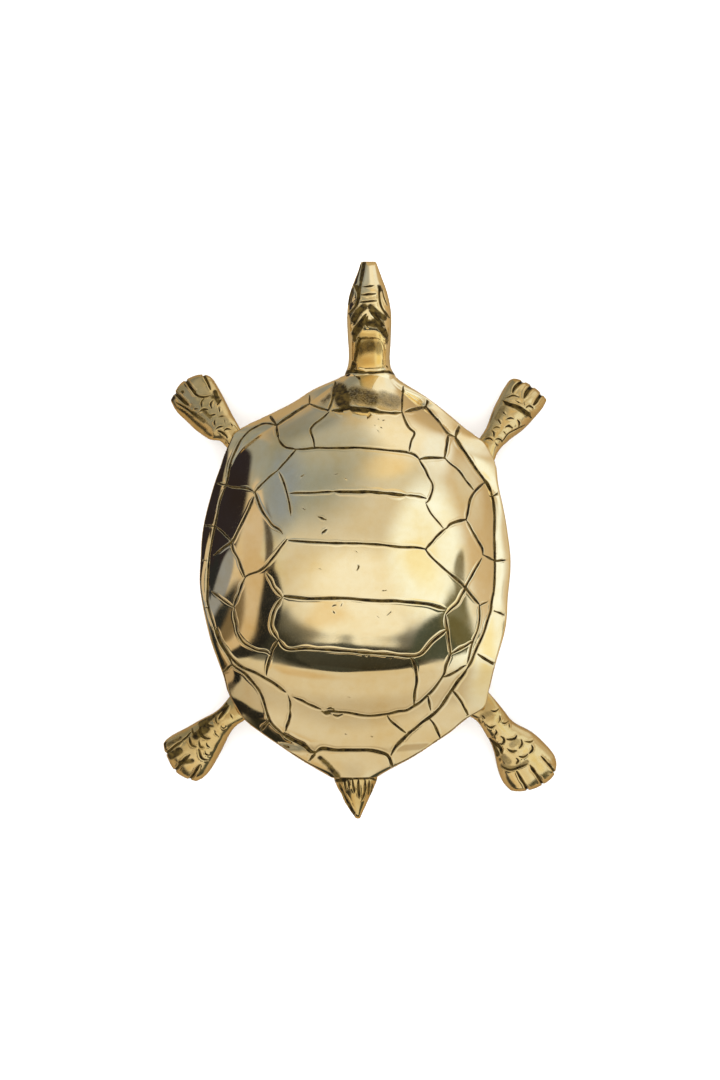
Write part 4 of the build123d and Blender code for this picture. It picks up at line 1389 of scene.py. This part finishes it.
# The tail seen from above, from its tip to its seam, in the same way
tail_px = (
    (776, 333.6, 377.6), (780.6, 334.6, 376.7), (785, 336.4, 375), (788.8, 338, 373.5),
    (792.4, 340.4, 371.9),
    (800.2, 343.7, 368.3), (806.7, 347.6, 365.4), (812, 351, 362.9), (816.4, 354.3, 361), (819, 356, 360.2),
)

tail_heights = (
    (776, 12.56 * mm, 3.36 * mm, 3.36 * mm, 2.0), (778.3, 12.56 * mm, 3.36 * mm, 3.36 * mm, 2.0),
    (794.6, 11.3 * mm, 2.5 * mm, 2.46 * mm, 2.0), (810.9, 9.75 * mm, 1.4 * mm, 1.34 * mm, 2.0),
    (819, 8.96 * mm, 0.8 * mm, 0.7 * mm, 2.0),
)

tail_cuts_px = (
    (2.2, 0.6, 1.0, (344.3, 779.6), (345.9, 790.4)),
    (2.4, 0.6, 1.0, (348.1, 779.2), (349.3, 788.4)),
    (2.2, 0.6, 1.0, (352.3, 779), (354.3, 792.6)),
    (2.4, 0.6, 1.0, (358.2, 779), (359.1, 798)),
    (2.3, 0.6, 1.0, (365.2, 779), (364.6, 792), (361.9, 800.7)),
    (2.0, 0.6, 1.0, (369.2, 780), (368.4, 794.4)),
    (2.8, 0.5, 1.0, (339.4, 783.5), (347.2, 801.2), (354.6, 816.4)),
    (1.8, 0.5, 1.0, (373, 783), (370.2, 796)),
    (3.0, 0.5, 1.0, (333, 781.2), (341.3, 779.6), (352, 778.6)),
    (2.0, 0.5, 1.0, (352, 778.6), (363, 778.2), (371.1, 778.6), (378, 781)),
)

tail_stains_px = (
    (1.6, 1.0, (336.5, 785), (345, 798), (354, 813)),
    (2.0, 0.9, (334, 780.6), (345, 780.4)),
)


def build_tube(name, shape, cuts_px, stains_px):
    """The head or the tail."""
    lines = [(1.2 * width, deep, stain_and_shade, points) for width, deep, stain_and_shade, *points in cuts_px]
    cuts = Cuts(lines, taper=0.9 * mm, valley=0.03 * mm, burr=0.16)
    return limb(name, *shape, cuts, stains_px, spacing=0.34 * mm, inset=0.5 * mm)


head_shape = tube_shape(head_px, head_heights, ahead=1, end_px=261.8, end_round_px=5, seam_px=380)
head = build_tube("carved_head", head_shape, head_cuts_px, head_stains_px)
dress(head, shell_metal, "head_and_neck")
tail_shape = tube_shape(tail_px, tail_heights, ahead=-1, end_px=819, end_round_px=4, seam_px=776.5)
tail = build_tube("fluted_tail", tail_shape, tail_cuts_px, tail_stains_px)
dress(tail, leg_metal, "tail")

# The belly plate and the screws stay as the CAD made them
for name, metal in (("plastron", belly_metal), ("belly_screws", screw_metal)):
    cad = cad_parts[name]
    cad.data.materials.clear()
    cad.data.materials.append(metal)


# Floor, light and camera

floor_reach = 30.0
floor_corners = [(-1, -1, 0), (1, -1, 0), (1, 1, 0), (-1, 1, 0)]
floor_mesh = bpy.data.meshes.new("floor")
floor_mesh.from_pydata(np.multiply(floor_corners, floor_reach).tolist(), [], [(0, 1, 2, 3)])
floor = bpy.data.objects.new("floor", floor_mesh)
bpy.context.scene.collection.objects.link(floor)
paper = bpy.data.materials.new("pale_paper")
paper.use_nodes = True
paper_inputs = paper.node_tree.nodes["Principled BSDF"].inputs
paper_inputs["Base Color"].default_value = (0.93, 0.93, 0.93, 1)
paper_inputs["Roughness"].default_value = 0.9
floor_mesh.materials.append(paper)
floor.visible_glossy = False

# What the brass mirrors, laid out on the map whose distance from the middle is the angle from straight up
# and whose direction is the compass direction. Each card is its place there in degrees, its two radii and
# turn, its softness, its colour as the brass shows it, and how much it covers.
room_steps = (
    (0, (207, 187, 145)), (0.17, (214, 196, 152)), (0.36, (212, 194, 150)), (0.5, (212, 184, 134)),
    (0.62, (200, 168, 114)), (1, (150, 120, 70)),
)
cards = (
    ((-6, -66), (52, 26), 0, 0.15, (44, 42, 30), 1.0),
    ((1, -20), (50, 50), 0, 0.05, (213, 193, 149), 1.0),
    ((2, -60), (24, 12.5), 0, 0.1, (243, 224, 176), 1.0),
    ((3, -42), (37, 24), 0, 0.5, (246, 229, 184), 1.0),
    ((-16, -57), (11, 8), 0, 0.5, (232, 194, 122), 0.6),
    ((98, 34), (14, 20), 0, 0.5, (216, 198, 156), 0.8),
    ((53, -14), (28, 44), -18, 0.3, (255, 249, 214), 1.0),
    ((24, 40), (22, 9), 8, 0.5, (240, 206, 138), 0.8),
    ((42, 70), (34, 22), 0, 0.5, (248, 232, 190), 0.95),
    ((-46, 46), (52, 42), 0, 0.5, (144, 142, 120), 0.95),
    ((-46, 92), (32, 24), 0, 0.4, (134, 132, 114), 0.9),
    ((-58, 30), (14, 32), 0, 0.6, (138, 140, 132), 0.9),
    ((-20, 60), (34, 22), 0, 0.5, (188, 178, 148), 0.6),
    ((72, 60), (14, 26), -20, 0.4, (244, 234, 200), 0.9),
    ((4, 104), (40, 14), 0, 0.4, (190, 162, 106), 0.9),
    ((-91, 66), (14, 24), 20, 0.25, (150, 146, 124), 0.9),
    ((-80, 6), (9, 32), 8, 0.12, (206, 178, 132), 1.0),
    ((-67, -36), (11, 30), 32, 0.15, (206, 176, 126), 1.0),
    ((-114, 24), (23, 50), 0, 0.1, (44, 36, 33), 1.0),
    ((-100, -16), (8, 14), 0, 0.12, (146, 141, 126), 1.0),
    ((-110, -22), (6, 24), 10, 0.15, (40, 40, 36), 1.0),
    ((-86, -36), (12, 18), 40, 0.15, (36, 36, 30), 1.0),
    ((-74, -38), (4, 16), 32, 0.3, (122, 98, 60), 0.9),
    ((-62, -16), (3.2, 34), 14, 0.3, (64, 52, 38), 0.9),
    ((-52, -44), (6, 20), 24, 0.15, (34, 32, 26), 1.0),
    ((-2, -86), (52, 9), 0, 0.15, (62, 58, 42), 1.0),
    ((-6, -75), (8, 4.6), 0, 0.12, (70, 68, 52), 1.0),
    ((44, -65), (11, 30), -45, 0.1, (74, 76, 56), 1.0),
    ((46, -24), (13, 14), 0, 0.6, (252, 230, 158), 0.75),
    ((75, -22), (3.4, 14), -30, 0.25, (112, 98, 58), 0.9),
    ((60, -43), (5, 18), -42, 0.25, (104, 96, 58), 0.95),
)


def mirrored(colour):
    """The light that the brass shows as the given display colour."""
    return (*(linear(colour) / brass_light[:3]), 1.0)


def studio_light():
    """A soft studio: plain white light for the floor, and a pale room with soft cards for reflections."""
    world = bpy.data.worlds.new("studio")
    world.use_nodes = True
    bpy.context.scene.world = world
    tree = world.node_tree
    tree.nodes.clear()

    # The map of the room: the direction from straight up, stretched to the angle from there
    direction = node(tree, "ShaderNodeTexCoord").outputs["Generated"]
    x, y, z = node(tree, "ShaderNodeSeparateXYZ", Vector=direction).outputs
    angle = node(tree, "ShaderNodeMath", z, operation="ARCCOSINE").outputs["Value"]
    level = node(tree, "ShaderNodeCombineXYZ", X=x, Y=y).outputs["Vector"]
    compass = node(tree, "ShaderNodeVectorMath", level, operation="NORMALIZE").outputs["Vector"]
    plan = node(tree, "ShaderNodeVectorMath", compass, operation="SCALE", Scale=angle).outputs["Vector"]

    turn = node(tree, "ShaderNodeMath", angle, pi, operation="DIVIDE").outputs["Value"]
    ramp = node(tree, "ShaderNodeValToRGB", Fac=turn)
    stops = ramp.color_ramp.elements
    stops.remove(stops[1])
    for i, (position, colour) in enumerate(room_steps):
        stop = stops.new(position) if i else stops[0]
        stop.position = position
        stop.color = mirrored(colour)
    light = ramp.outputs["Color"]

    for (card_x, card_y), (radius_x, radius_y), turned, soft, colour, cover in cards:
        on_card = node(
            tree, "ShaderNodeMapping", vector_type="TEXTURE",
            Vector=plan,
            Location=(radians(card_x), radians(card_y), 0),
            Rotation=(0, 0, radians(turned)),
            Scale=(radians(radius_x), radians(radius_y), 1),
        ).outputs["Vector"]
        mask = node(
            tree, "ShaderNodeMapRange", interpolation_type="SMOOTHSTEP",
            Value=node(tree, "ShaderNodeVectorMath", on_card, operation="LENGTH").outputs["Value"],
            From_Min=1 + soft, From_Max=1 - soft, To_Min=0, To_Max=cover,
        ).outputs["Result"]
        light = node(
            tree, "ShaderNodeMix", data_type="RGBA", Factor=mask, A=light, B=mirrored(colour)
        ).outputs["Result"]

    room = node(tree, "ShaderNodeBackground", Color=light, Strength=1.0).outputs["Background"]
    plain = node(tree, "ShaderNodeBackground", Color=(1, 1, 1, 1), Strength=2.2).outputs["Background"]
    glossy = node(tree, "ShaderNodeLightPath").outputs["Is Glossy Ray"]
    choice = node(tree, "ShaderNodeMixShader", glossy, plain, room)
    node(tree, "ShaderNodeOutputWorld", Surface=choice.outputs["Shader"])


studio_light()

# The camera looks straight down, and scale_plane is the height at which a pixel has its size
camera_height = 8.0
scale_plane = 14 * mm
sensor = 36
camera_data = bpy.data.cameras.new("camera")
camera_data.sensor_fit = "VERTICAL"
camera_data.sensor_height = sensor
camera_data.sensor_width = sensor
camera_data.lens = sensor * (camera_height - scale_plane) / (image_height_px * pixel)
camera_data.clip_end = 60
camera = bpy.data.objects.new("camera", camera_data)
camera.location = (x_at(image_width_px / 2), y_at(image_height_px / 2), camera_height)
bpy.context.scene.collection.objects.link(camera)
bpy.context.scene.camera = camera
bpy.context.scene.view_settings.view_transform = "Standard"
